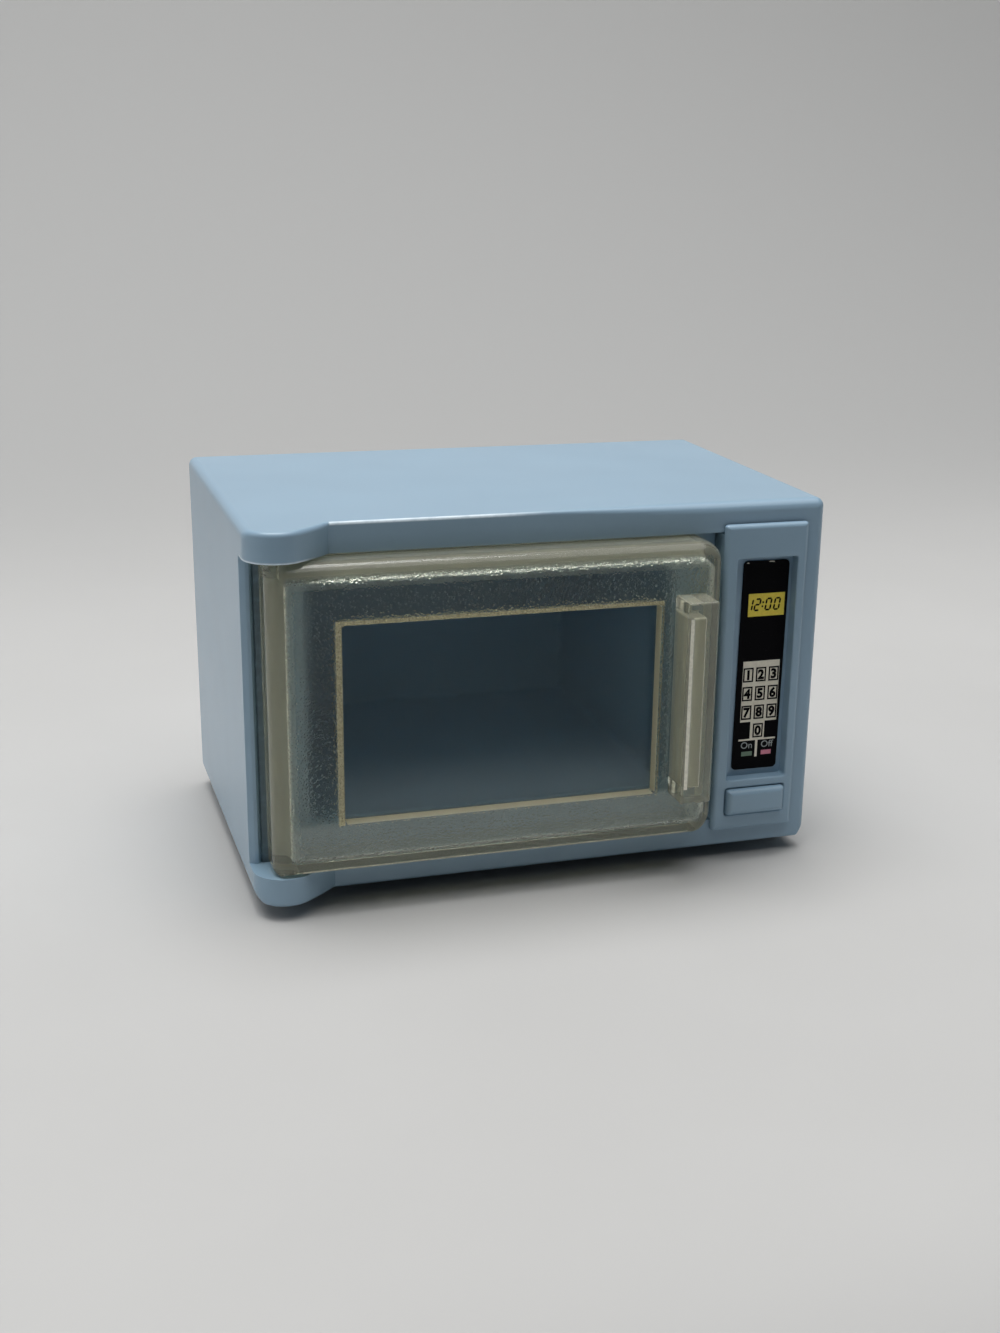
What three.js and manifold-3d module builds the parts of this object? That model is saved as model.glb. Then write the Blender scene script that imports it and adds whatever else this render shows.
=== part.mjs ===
// A dollhouse microwave oven in millimetres, +Z up, its front towards -Y.
// Every piece is drawn from the plane of the case's front lips, at y = 0, with the case's underside
// at z = 0 and its middle at x = 0. The last group moves the whole toy so that it stands centred on
// its feet.
import * as THREE from 'three';
import { mergeVertices } from 'three/addons/utils/BufferGeometryUtils.js';
import Module from 'manifold-3d';

const wasm = await Module();
wasm.setup();

// Clearances shared by all pieces.
const seatGap = 0.3;
const cutOverrun = 2;

// Case: one moulded sleeve with a front lip above and below the door.
const caseWidth = 88;
const caseHeight = 54.6;
const caseDepth = 55.5;
const caseSideWall = 1.8;
const caseFlatWall = 2.2;
const lipHeight = 4.4;
const lipDepth = 2;
const rightReturn = 3.5;
const pillarSetback = 1.2;
const frontCornerRadius = 1.3;
const backCornerRadius = 1.5;
const topCornerRadius = 1.3;
const bottomCornerRadius = 2;
const lipEdgeRadius = 0.4;

// Feet: four low round pads moulded under the case, set back from its edges.
const footRadius = 3;
const footHeight = 2.2;
const footInset = 10;

// Hinge ears at the left end of both lips.
const earRadius = 4.65;
const earReach = 5.2;
const earFootInset = 12.1;
const earArcEnd = THREE.MathUtils.degToRad(308);
const earFlankShare = 0.63;
const hingeInset = 4.6;
const hingeReach = 2;
const socketRadius = 1.5;
const socketDepth = 2.2;

// Rear cover: a plate inside the case's open back, with four spring tabs and four stops.
const coverThickness = 1.2;
const coverSetback = 0.3;
const coverCornerRadius = 0.8;
const tabInset = 14.2;
const tabWidth = 8;
const tabThickness = 1.2;
const tabLength = 6;
const hookRise = 0.8;
const hookLength = 1.6;
const stopWidth = 1.5;
const stopHeight = 4;
const stopLength = 4;

// Control panel: a bezel over the lips with a body in the opening behind it.
const panelWidth = 13.6;
const panelSideOverlap = 0.5;
const panelLowOverlap = 1.65;
const panelHighOverlap = 1.2;
const panelProud = 1.1;
const panelFillet = 0.8;
const panelCornerRadius = 0.5;
const panelWall = 1.2;
const recessLeftMargin = 2.15;
const recessRightMargin = 1.6;
const recessTopMargin = 5.2;
const recessSink = 2.1;
const recessCornerRadius = 0.4;
const holeLeftMargin = 2;
const holeRightMargin = 1.65;
const holeBottomMargin = 2.55;
const holeHeight = 4.4;
const holeWeb = 1.3;
const shelfThickness = 0.9;
const shelfInset = 0.4;
const springPlateGap = 4;
const springPlateThickness = 1;
const catchWidth = 6;
const catchRise = 1;

// Oven liner: a flange behind the lips with the oven's tub on it.
const linerWall = 1.2;
const ovenLeftMargin = 6.8;
const ovenRightMargin = 6.6;
const ovenBottomMargin = 8;
const ovenTopMargin = 5.9;
const ovenBackGap = 0.8;
const ovenDraft = 0.45;
const ovenCornerRadius = 1;

// Door: one clear moulding, a tray that is open to the back.
const doorSideGap = 0.7;
const doorPanelGap = 1.6;
const doorReach = 5;
const doorPlate = 1.5;
const doorRim = 1.4;
const doorHingeWall = 2.6;
const doorFillet = 2.3;
const doorHingeCorner = 1;
const doorFreeCorner = 3.3;
const doorChamfer = 1.2;
const pinRadius = 1.2;
const pinLength = 1.9;

// Window: a sunk pane in the door.
const windowLeftMargin = 10.3;
const windowRightMargin = 9.6;
const windowBottomMargin = 7.1;
const windowTopMargin = 8.4;
const windowSink = 2;
const paneThickness = 1.2;
const windowCornerRadius = 0.5;

// Handle: a hollow bar on the door, cored from behind.
const handleWidth = 4.8;
const handleSideMargin = 2.9;
const handleBottomMargin = 6.9;
const handleTopMargin = 7.4;
const handleReach = 5.2;
const handleWall = 1;
const handleEndWall = 2.4;
const handleFillet = 0.6;
const handleCornerRadius = 0.3;

// Printed label on the floor of the panel's recess.
const labelLeftMargin = 1.65;
const labelRightMargin = 0.65;
const labelBottomMargin = 1;
const labelTopMargin = 0.85;
const labelThickness = 0.2;
const labelGap = 0.1;
const labelCornerRadius = 0.7;

// Push button under the label, and its return spring.
const buttonTravel = 0.9;
const capSideGap = 0.15;
const capTopGap = 0.12;
const capBottomGap = 0.12;
const capProud = 1;
const capFillet = 0.7;
const capCornerRadius = 0.4;
const collarSide = 0.5;
const collarRise = 0.15;
const collarThickness = 1;
const postRadius = 0.9;
const postEndGap = 0.5;
const springWireRadius = 0.2;
const springTurns = 4;

// The smallest corner that an outline keeps when it is drawn in, as a share of its own radius.
const leastRadiusShare = 0.1;

// How finely round shapes are cut into flats.
const cornerSteps = 5;
const filletSteps = 4;
const roundSteps = 24;
const springStepsPerTurn = 16;
const springWireSides = 6;

// Places in the case that follow from the sizes above.
const quarterTurn = Math.PI / 2;
const caseLeft = -caseWidth / 2;
const caseRight = caseWidth / 2;
const hollowLeft = caseLeft + caseSideWall;
const hollowRight = caseRight - caseSideWall;
const hollowTop = caseHeight - caseFlatWall;
const openingRight = caseRight - rightReturn;
const openingTop = caseHeight - lipHeight;
const hingeX = caseLeft + hingeInset;
const hingeY = -hingeReach;

// Places of the panel and the button.
const panelRight = openingRight + panelSideOverlap;
const panelLeft = panelRight - panelWidth;
const panelBottom = lipHeight - panelLowOverlap;
const panelTop = openingTop + panelHighOverlap;
const panelFront = -panelProud;
const bodyRight = openingRight - seatGap;
const bodyBottom = lipHeight + seatGap;
const bodyTop = openingTop - seatGap;
const holeLeft = panelLeft + holeLeftMargin;
const holeRight = panelRight - holeRightMargin;
const holeBottom = panelBottom + holeBottomMargin;
const holeTop = holeBottom + holeHeight;
const recessLeft = panelLeft + recessLeftMargin;
const recessRight = panelRight - recessRightMargin;
const recessBottom = holeTop + holeWeb;
const recessTop = panelTop - recessTopMargin;
const recessFloor = panelFront + recessSink;
const shelfBottom = recessBottom - shelfThickness;
const buttonX = (holeLeft + holeRight) / 2;
const buttonZ = (holeBottom + holeTop) / 2;
const collarFront = 0;
const collarBack = collarFront + collarThickness;
const springPlateFront = collarBack + springPlateGap;
const springPlateBack = springPlateFront + springPlateThickness;
const springRadius = postRadius + seatGap + springWireRadius;

// Places of the rear cover and the oven liner.
const coverBack = caseDepth - coverSetback;
const coverFront = coverBack - coverThickness;
const flangeFront = lipDepth + seatGap;
const flangeBack = flangeFront + linerWall;
const flangeLeft = hollowLeft + seatGap;
const flangeRight = panelLeft - seatGap;
const flangeBottom = caseFlatWall + seatGap;
const flangeTop = hollowTop - seatGap;
const ovenBack = coverFront - ovenBackGap - linerWall;

// Places of the door.
const doorLeft = hollowLeft + doorSideGap;
const doorRight = panelLeft - doorPanelGap;
const doorBottom = lipHeight + seatGap;
const doorTop = openingTop - seatGap;
const doorFront = -doorReach;
const doorBack = flangeFront - seatGap;
const paneFront = doorFront + windowSink;
const paneBack = paneFront + paneThickness;
const handleRight = doorRight - handleSideMargin;
const handleLeft = handleRight - handleWidth;
const handleBottom = doorBottom + handleBottomMargin;
const handleTop = doorTop - handleTopMargin;
const handleFront = doorFront - handleReach;

// Makes a solid that can be cut and joined out of a closed geometry.
function solidOf(geometry) {
  geometry.deleteAttribute('normal');
  geometry.deleteAttribute('uv');
  const merged = mergeVertices(geometry);
  return new wasm.Manifold(new wasm.Mesh({
    numProp: 3,
    vertProperties: merged.attributes.position.array,
    triVerts: Uint32Array.from(merged.index.array),
  }));
}

// Gives a solid back as a geometry.
function geometryOf(solid) {
  const mesh = solid.getMesh();
  const geometry = new THREE.BufferGeometry();
  geometry.setAttribute('position', new THREE.BufferAttribute(mesh.vertProperties, 3));
  geometry.setIndex(new THREE.BufferAttribute(mesh.triVerts, 1));
  geometry.computeVertexNormals();
  return geometry;
}

// A round bar along Z.
function uprightBar(x, y, z0, z1, radius) {
  const geometry = new THREE.CylinderGeometry(radius, radius, z1 - z0, roundSteps);
  geometry.rotateX(quarterTurn);
  geometry.translate(x, y, (z0 + z1) / 2);
  return solidOf(geometry);
}

// A round bar along Y.
function levelBar(x, y0, y1, z, radius) {
  const geometry = new THREE.CylinderGeometry(radius, radius, y1 - y0, roundSteps);
  geometry.translate(x, (y0 + y1) / 2, z);
  return solidOf(geometry);
}

// A flat outline with four corner radii, given from the low left corner anticlockwise.
function roundedOutline(x0, x1, y0, y1, radii) {
  const [lowLeft, lowRight, highRight, highLeft] = radii;
  const shape = new THREE.Shape();
  shape.absarc(x1 - lowRight, y0 + lowRight, lowRight, -quarterTurn, 0);
  shape.absarc(x1 - highRight, y1 - highRight, highRight, 0, quarterTurn);
  shape.absarc(x0 + highLeft, y1 - highLeft, highLeft, quarterTurn, Math.PI);
  shape.absarc(x0 + lowLeft, y0 + lowLeft, lowLeft, Math.PI, Math.PI + quarterTurn);
  return shape;
}

// An outline pushed straight along the third axis, still in the outline's own plane.
function pushed(shape, length) {
  return new THREE.ExtrudeGeometry(shape, { depth: length, bevelEnabled: false, curveSegments: cornerSteps });
}

// One level outline of a rounded rectangle that stands upright at depth y, drawn in by an inset.
function ringAt(outline, inset, y) {
  const corners = [
    { x: outline.right, z: outline.bottom, inX: -1, inZ: 1, radius: outline.rightRadius },
    { x: outline.right, z: outline.top, inX: -1, inZ: -1, radius: outline.rightRadius },
    { x: outline.left, z: outline.top, inX: 1, inZ: -1, radius: outline.leftRadius },
    { x: outline.left, z: outline.bottom, inX: 1, inZ: 1, radius: outline.leftRadius },
  ];
  const points = [];
  corners.forEach((corner, turn) => {
    const radius = Math.max(corner.radius - inset, corner.radius * leastRadiusShare);
    const centreX = corner.x + corner.inX * (inset + radius);
    const centreZ = corner.z + corner.inZ * (inset + radius);
    for (let step = 0; step <= cornerSteps; step += 1) {
      const angle = (turn - 1 + step / cornerSteps) * quarterTurn;
      points.push(new THREE.Vector3(centreX + radius * Math.cos(angle), y, centreZ + radius * Math.sin(angle)));
    }
  });
  return points;
}

// A closed skin over rings of equal length, listed from the back to the front.
function loft(rings) {
  const size = rings[0].length;
  const points = rings.flat();
  const triangles = [];
  for (let level = 0; level + 1 < rings.length; level += 1) {
    for (let side = 0; side < size; side += 1) {
      const here = level * size + side;
      const next = level * size + ((side + 1) % size);
      triangles.push(here, next, next + size, here, next + size, here + size);
    }
  }
  const last = (rings.length - 1) * size;
  for (let side = 1; side + 1 < size; side += 1) {
    triangles.push(0, side + 1, side, last, last + side, last + side + 1);
  }
  const geometry = new THREE.BufferGeometry().setFromPoints(points);
  geometry.setIndex(triangles);
  return solidOf(geometry);
}

// A box between two corners.
function box(x0, x1, y0, y1, z0, z1) {
  const rectangle = (y) => [
    new THREE.Vector3(x1, y, z0),
    new THREE.Vector3(x1, y, z1),
    new THREE.Vector3(x0, y, z1),
    new THREE.Vector3(x0, y, z0),
  ];
  return loft([rectangle(y1), rectangle(y0)]);
}

// A block with a rounded rectangle outline whose front edge is rounded over all the way round.
function softBlock(outline, back, front, fillet) {
  const rings = [ringAt(outline, 0, back)];
  for (let step = 0; step <= filletSteps; step += 1) {
    const angle = (step / filletSteps) * quarterTurn;
    rings.push(ringAt(outline, fillet * (1 - Math.cos(angle)), front + fillet * (1 - Math.sin(angle))));
  }
  return loft(rings);
}

// A block with a rounded rectangle outline and square edges.
function plainBlock(outline, back, front) {
  return loft([ringAt(outline, 0, back), ringAt(outline, 0, front)]);
}

// The left ear of both lips, seen from above: a round nose and a long flank back to the lip.
function earOutline() {
  const noseX = caseLeft + earRadius;
  const noseY = earRadius - earReach;
  const footX = caseLeft + earFootInset;
  const flankX = noseX + earRadius * Math.cos(earArcEnd);
  const flankY = noseY + earRadius * Math.sin(earArcEnd);
  const flankBend = Math.hypot(footX - flankX, flankY) * earFlankShare;
  const shape = new THREE.Shape();
  shape.moveTo(footX, lipDepth);
  shape.lineTo(caseLeft, lipDepth);
  shape.absarc(noseX, noseY, earRadius, Math.PI, earArcEnd);
  shape.quadraticCurveTo(
    flankX - flankBend * Math.sin(earArcEnd),
    flankY + flankBend * Math.cos(earArcEnd),
    footX,
    0,
  );
  return shape;
}

// Case: the sleeve is what three rounded outlines share, seen from above, the front and the side.
function makeCase() {
  const planShape = roundedOutline(caseLeft, caseRight, 0, caseDepth,
    [lipEdgeRadius, frontCornerRadius, backCornerRadius, backCornerRadius]);
  const plan = solidOf(pushed(planShape, caseHeight));

  const frontShape = roundedOutline(caseLeft, caseRight, 0, caseHeight,
    [bottomCornerRadius, bottomCornerRadius, topCornerRadius, topCornerRadius]);
  const frontView = pushed(frontShape, caseDepth + earReach);
  frontView.rotateX(quarterTurn);
  frontView.translate(0, caseDepth, 0);
  const elevation = solidOf(frontView);

  const sideShape = roundedOutline(0, caseDepth, 0, caseHeight,
    [lipEdgeRadius, backCornerRadius, backCornerRadius, lipEdgeRadius]);
  const sideView = pushed(sideShape, caseWidth);
  sideView.rotateX(quarterTurn);
  sideView.rotateZ(quarterTurn);
  sideView.translate(caseLeft, 0, 0);
  const profile = solidOf(sideView);

  let body = plan.intersect(profile);
  for (const foot of [-cutOverrun, openingTop - cutOverrun]) {
    const ear = pushed(earOutline(), lipHeight + 2 * cutOverrun);
    ear.translate(0, 0, foot);
    body = body.add(solidOf(ear));
  }
  body = body.intersect(elevation);

  body = body.subtract(box(hollowLeft, hollowRight, lipDepth, caseDepth + cutOverrun,
    caseFlatWall, hollowTop));
  const cutFront = -earReach - cutOverrun;
  body = body.subtract(box(hollowLeft, openingRight, cutFront, lipDepth + cutOverrun, lipHeight, openingTop));
  body = body.subtract(box(caseLeft - cutOverrun, hollowLeft, cutFront, pillarSetback, lipHeight, openingTop));

  body = body.subtract(uprightBar(hingeX, hingeY, lipHeight - socketDepth, lipHeight + cutOverrun, socketRadius));
  body = body.subtract(uprightBar(hingeX, hingeY, openingTop - cutOverrun, openingTop + socketDepth,
    socketRadius));

  for (const x of [caseLeft + footInset, caseRight - footInset]) {
    for (const y of [footInset, caseDepth - footInset]) {
      body = body.add(uprightBar(x, y, -footHeight, caseFlatWall / 2, footRadius));
    }
  }

  // Corner stops and blind notches carry the rear cover.
  const stopBack = coverFront - seatGap;
  for (const side of [-1, 1]) {
    const wallX = side < 0 ? hollowLeft : hollowRight;
    const stopX = wallX - side * stopWidth;
    for (const floorZ of [caseFlatWall, hollowTop - stopHeight]) {
      body = body.add(box(Math.min(wallX, stopX), Math.max(wallX, stopX),
        stopBack - stopLength, stopBack, floorZ, floorZ + stopHeight));
    }
    for (const level of [0, 1]) {
      body = body.subtract(hookBlock(side, level, seatGap));
    }
  }
  return body;
}

// The hook of one cover tab; with a clearance it is the notch in the case's wall round that hook.
function hookBlock(side, level, clearance) {
  const middle = side * (hollowRight - tabInset);
  const front = coverFront - tabLength;
  const tabFace = level === 0 ? caseFlatWall + seatGap : hollowTop - seatGap;
  const hookTip = level === 0 ? tabFace - hookRise : tabFace + hookRise;
  const outward = level === 0 ? -clearance : clearance;
  const root = level === 0 ? tabFace + tabThickness : tabFace - tabThickness;
  const ends = [root, hookTip + outward];
  return box(middle - tabWidth / 2 - clearance, middle + tabWidth / 2 + clearance,
    front - clearance, front + hookLength + clearance, Math.min(...ends), Math.max(...ends));
}

// Rear cover: a plate with a tab behind each hook.
function makeRearCover() {
  const outline = {
    left: hollowLeft + seatGap,
    right: hollowRight - seatGap,
    bottom: caseFlatWall + seatGap,
    top: hollowTop - seatGap,
    leftRadius: coverCornerRadius,
    rightRadius: coverCornerRadius,
  };
  let cover = plainBlock(outline, coverBack, coverFront);
  for (const side of [-1, 1]) {
    const middle = side * (hollowRight - tabInset);
    for (const level of [0, 1]) {
      const low = level === 0 ? outline.bottom : outline.top - tabThickness;
      const tab = box(middle - tabWidth / 2, middle + tabWidth / 2,
        coverFront - tabLength, coverBack, low, low + tabThickness);
      cover = cover.add(tab).add(hookBlock(side, level, 0));
    }
  }
  return cover;
}

// Oven liner: the tub narrows a little towards its back, as a moulded box does.
function makeOvenLiner() {
  const inside = {
    left: flangeLeft + ovenLeftMargin,
    right: flangeRight - ovenRightMargin,
    bottom: flangeBottom + ovenBottomMargin,
    top: flangeTop - ovenTopMargin,
    leftRadius: ovenCornerRadius,
    rightRadius: ovenCornerRadius,
  };
  const outside = {
    left: inside.left - linerWall,
    right: inside.right + linerWall,
    bottom: inside.bottom - linerWall,
    top: inside.top + linerWall,
    leftRadius: ovenCornerRadius + linerWall,
    rightRadius: ovenCornerRadius + linerWall,
  };
  const flange = box(flangeLeft, flangeRight, flangeFront, flangeBack, flangeBottom, flangeTop);
  const tub = loft([ringAt(outside, ovenDraft, ovenBack + linerWall), ringAt(outside, 0, flangeFront)]);
  const oven = loft([
    ringAt(inside, ovenDraft, ovenBack),
    ringAt(inside, 0, flangeFront),
    ringAt(inside, 0, flangeFront - cutOverrun),
  ]);
  return flange.add(tub).subtract(oven);
}

// Door: border plate, sunk window, hollow handle and two hinge pins in one moulding.
function makeDoor() {
  const outline = {
    left: doorLeft,
    right: doorRight,
    bottom: doorBottom,
    top: doorTop,
    leftRadius: doorHingeCorner,
    rightRadius: doorFreeCorner,
  };
  const tray = {
    left: doorLeft + doorHingeWall,
    right: doorRight - doorRim,
    bottom: doorBottom + doorRim,
    top: doorTop - doorRim,
    leftRadius: doorHingeCorner,
    rightRadius: doorFreeCorner - doorRim,
  };
  let door = softBlock(outline, doorBack, doorFront, doorFillet);
  door = door.subtract(softBlock(tray, doorBack + cutOverrun, doorFront + doorPlate, doorFillet - doorPlate));

  const chamferShape = new THREE.Shape();
  chamferShape.moveTo(doorLeft - cutOverrun, doorBack + cutOverrun);
  chamferShape.lineTo(doorLeft - cutOverrun, doorBack - doorChamfer - cutOverrun);
  chamferShape.lineTo(doorLeft + doorChamfer + cutOverrun, doorBack + cutOverrun);
  const chamfer = pushed(chamferShape, caseHeight);
  door = door.subtract(solidOf(chamfer));

  const window = {
    left: doorLeft + windowLeftMargin,
    right: doorRight - windowRightMargin,
    bottom: doorBottom + windowBottomMargin,
    top: doorTop - windowTopMargin,
    leftRadius: windowCornerRadius,
    rightRadius: windowCornerRadius,
  };
  const windowBack = {
    left: window.left - paneThickness,
    right: window.right + paneThickness,
    bottom: window.bottom - paneThickness,
    top: window.top + paneThickness,
    leftRadius: windowCornerRadius + paneThickness,
    rightRadius: windowCornerRadius + paneThickness,
  };
  door = door.add(plainBlock(windowBack, paneBack, doorFront + doorPlate / 2));
  door = door.subtract(plainBlock(window, paneFront, doorFront - cutOverrun));

  const bar = {
    left: handleLeft,
    right: handleRight,
    bottom: handleBottom,
    top: handleTop,
    leftRadius: handleCornerRadius,
    rightRadius: handleCornerRadius,
  };
  door = door.add(softBlock(bar, doorFront + doorPlate, handleFront, handleFillet));
  door = door.subtract(box(handleLeft + handleWall, handleRight - handleWall,
    handleFront + handleWall, doorFront + doorPlate + cutOverrun,
    handleBottom + handleEndWall, handleTop - handleEndWall));

  door = door.add(uprightBar(hingeX, hingeY, doorBottom - pinLength, doorBottom + doorRim, pinRadius));
  door = door.add(uprightBar(hingeX, hingeY, doorTop - doorRim, doorTop + pinLength, pinRadius));
  return door;
}

// Control panel: bezel, label recess, button chamber and the plate that the spring pushes against.
function makeControlPanel() {
  const face = {
    left: panelLeft,
    right: panelRight,
    bottom: panelBottom,
    top: panelTop,
    leftRadius: panelCornerRadius,
    rightRadius: panelCornerRadius,
  };
  const recess = {
    left: recessLeft,
    right: recessRight,
    bottom: recessBottom,
    top: recessTop,
    leftRadius: recessCornerRadius,
    rightRadius: recessCornerRadius,
  };
  const hole = {
    left: holeLeft,
    right: holeRight,
    bottom: holeBottom,
    top: holeTop,
    leftRadius: capCornerRadius,
    rightRadius: capCornerRadius,
  };
  const bodyBack = flangeBack;
  const floorBack = recessFloor + panelWall;
  const chamberLeft = holeLeft - collarSide - seatGap;

  let body = box(panelLeft, bodyRight, panelFront / 2, bodyBack, bodyBottom, bodyTop);
  body = body.subtract(box(chamberLeft, bodyRight + cutOverrun, panelFront - cutOverrun,
    bodyBack + cutOverrun, bodyBottom - cutOverrun, shelfBottom));
  body = body.subtract(box(panelLeft + panelWall, recessRight, floorBack, bodyBack + cutOverrun,
    recessBottom, recessTop));
  body = body.subtract(box(recessLeft, recessRight, panelFront + panelWall, bodyBack + cutOverrun,
    recessTop + panelWall, bodyTop - panelWall));

  let panel = softBlock(face, -seatGap, panelFront, panelFillet).add(body);
  panel = panel.subtract(plainBlock(recess, recessFloor, panelFront - cutOverrun));
  panel = panel.subtract(plainBlock(hole, collarFront, panelFront - cutOverrun));

  const shelfLeft = holeLeft + shelfInset;
  const shelfRight = holeRight - shelfInset;
  panel = panel.add(box(shelfLeft, shelfRight, floorBack, springPlateBack, shelfBottom, recessBottom));
  panel = panel.add(box(shelfLeft, shelfRight, springPlateFront, springPlateBack, holeBottom, recessBottom));

  // Catches behind the two lips hold the panel in the case.
  panel = panel.add(box(buttonX - catchWidth / 2, buttonX + catchWidth / 2, flangeFront, bodyBack,
    bodyTop - panelWall, openingTop + catchRise));
  panel = panel.add(box(panelLeft, chamberLeft, flangeFront, bodyBack,
    lipHeight - catchRise, bodyBottom + panelWall));
  return panel;
}

// Printed label: a thin sheet just off the recess floor.
function makeLabel() {
  const outline = {
    left: recessLeft + labelLeftMargin,
    right: recessRight - labelRightMargin,
    bottom: recessBottom + labelBottomMargin,
    top: recessTop - labelTopMargin,
    leftRadius: labelCornerRadius,
    rightRadius: labelCornerRadius,
  };
  const back = recessFloor - labelGap;
  return plainBlock(outline, back, back - labelThickness);
}

// Push button: cap, a collar that the bezel holds back, and a post inside the spring.
function makeButton() {
  const postBack = springPlateFront - buttonTravel - postEndGap;
  const cap = {
    left: holeLeft + capSideGap,
    right: holeRight - capSideGap,
    bottom: holeBottom + capBottomGap,
    top: holeTop - capTopGap,
    leftRadius: capCornerRadius,
    rightRadius: capCornerRadius,
  };
  const collar = box(holeLeft - collarSide, holeRight + collarSide, collarFront, collarBack,
    holeBottom - collarRise, holeTop + collarRise);
  return softBlock(cap, collarBack, panelFront - capProud, capFillet)
    .add(collar)
    .add(levelBar(buttonX, collarFront, postBack, buttonZ, postRadius));
}

// The middle line of the return spring.
class SpringLine extends THREE.Curve {
  getPoint(share, target = new THREE.Vector3()) {
    const angle = share * springTurns * 4 * quarterTurn;
    const start = collarBack + seatGap + springWireRadius;
    const end = springPlateFront - seatGap - springWireRadius;
    return target.set(
      buttonX + springRadius * Math.cos(angle),
      start + (end - start) * share,
      buttonZ + springRadius * Math.sin(angle),
    );
  }
}

// Return spring: one open coil round the button's post.
function makeSpring() {
  const section = new THREE.Shape();
  section.absarc(0, 0, springWireRadius, 0, 4 * quarterTurn);
  const geometry = new THREE.ExtrudeGeometry(section, {
    steps: springTurns * springStepsPerTurn,
    extrudePath: new SpringLine(),
    curveSegments: springWireSides,
    bevelEnabled: false,
  });
  return solidOf(geometry);
}

const bluePlastic = new THREE.MeshStandardMaterial({ color: 0x7d93a6, roughness: 0.4, metalness: 0 });
const linerPlastic = new THREE.MeshStandardMaterial({ color: 0x70869a, roughness: 0.45, metalness: 0 });
const clearPlastic = new THREE.MeshStandardMaterial({
  color: 0xa8a68a,
  roughness: 0.15,
  metalness: 0,
  transparent: true,
  opacity: 0.5,
});
const blackPrint = new THREE.MeshStandardMaterial({ color: 0x15171a, roughness: 0.5, metalness: 0 });
const springSteel = new THREE.MeshStandardMaterial({ color: 0xb0b2b4, roughness: 0.3, metalness: 1 });

const microwave = new THREE.Group();
microwave.position.set(0, -(caseDepth + handleFront) / 2, footHeight);

// Adds one piece to the toy; its own origin goes to the given place.
function addPiece(name, solid, material, x = 0, y = 0, z = 0) {
  const geometry = geometryOf(solid);
  geometry.translate(-x, -y, -z);
  const piece = new THREE.Mesh(geometry, material);
  piece.name = name;
  piece.position.set(x, y, z);
  microwave.add(piece);
}

addPiece('case_shell', makeCase(), bluePlastic);
addPiece('oven_liner', makeOvenLiner(), linerPlastic);
addPiece('rear_cover', makeRearCover(), bluePlastic);
addPiece('control_panel', makeControlPanel(), bluePlastic);
addPiece('panel_label', makeLabel(), blackPrint);
addPiece('release_button', makeButton(), bluePlastic, buttonX, collarBack, buttonZ);
addPiece('button_spring', makeSpring(), springSteel, buttonX, springPlateFront, buttonZ);
addPiece('door', makeDoor(), clearPlastic, hingeX, hingeY);

export default microwave;
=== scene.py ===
import math

import bmesh
import bpy
from mathutils import Matrix, Vector


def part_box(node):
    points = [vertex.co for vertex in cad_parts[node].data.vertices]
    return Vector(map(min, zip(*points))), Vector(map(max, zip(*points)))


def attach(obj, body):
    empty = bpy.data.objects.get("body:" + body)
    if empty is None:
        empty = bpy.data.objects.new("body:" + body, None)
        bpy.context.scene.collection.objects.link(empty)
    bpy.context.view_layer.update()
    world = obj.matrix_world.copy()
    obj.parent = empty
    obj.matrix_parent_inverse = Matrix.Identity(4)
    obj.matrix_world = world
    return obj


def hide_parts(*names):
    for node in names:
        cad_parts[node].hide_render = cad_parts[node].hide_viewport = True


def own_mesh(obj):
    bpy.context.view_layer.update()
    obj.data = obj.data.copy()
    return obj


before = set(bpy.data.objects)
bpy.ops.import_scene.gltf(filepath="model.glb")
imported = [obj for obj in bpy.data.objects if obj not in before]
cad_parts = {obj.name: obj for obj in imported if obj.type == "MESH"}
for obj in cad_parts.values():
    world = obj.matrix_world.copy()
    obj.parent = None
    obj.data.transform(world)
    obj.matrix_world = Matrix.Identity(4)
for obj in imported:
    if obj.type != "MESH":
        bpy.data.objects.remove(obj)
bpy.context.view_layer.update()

# The toy is drawn in millimetres from the plane of the case's front lips, with the case's underside
# at z = 0 and its middle at x = 0. The row frame has its origin on the floor, under the middle.
MM = 0.001
case_depth = 55.5
case_height = 54.6
shell_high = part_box("case_shell")[1]
lip_plane = shell_high.y - case_depth * MM
foot_height = shell_high.z / MM - case_height
row_frame = Matrix.Translation((0, lip_plane, foot_height * MM)) @ Matrix.Scale(MM, 4)


def box_mm(node):
    """The lowest and the highest corner of a CAD node in the drawing's own millimetres."""
    return [row_frame.inverted() @ Vector(corner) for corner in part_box(node)]


# Camera: it stands to the left of the toy and looks down on it, turned a little about its own axis.
# The photograph's frame is off the lens's middle, which the shift makes good.
cam_yaw, cam_pitch, cam_roll = (math.radians(angle) for angle in (18.605, 18.345, 1.180))
cam_place = Vector((-77.148, -231.529, 105.353))
frame_width, frame_height = 1000, 1333
lens_pixels = 1736.75
lens_middle = (550, 712.5)

forward = Vector((math.sin(cam_yaw) * math.cos(cam_pitch), math.cos(cam_yaw) * math.cos(cam_pitch),
                  -math.sin(cam_pitch)))
level = Vector((math.cos(cam_yaw), -math.sin(cam_yaw), 0))
upright = level.cross(forward)
cam_right = level * math.cos(cam_roll) + upright * math.sin(cam_roll)
cam_up = upright * math.cos(cam_roll) - level * math.sin(cam_roll)

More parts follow.
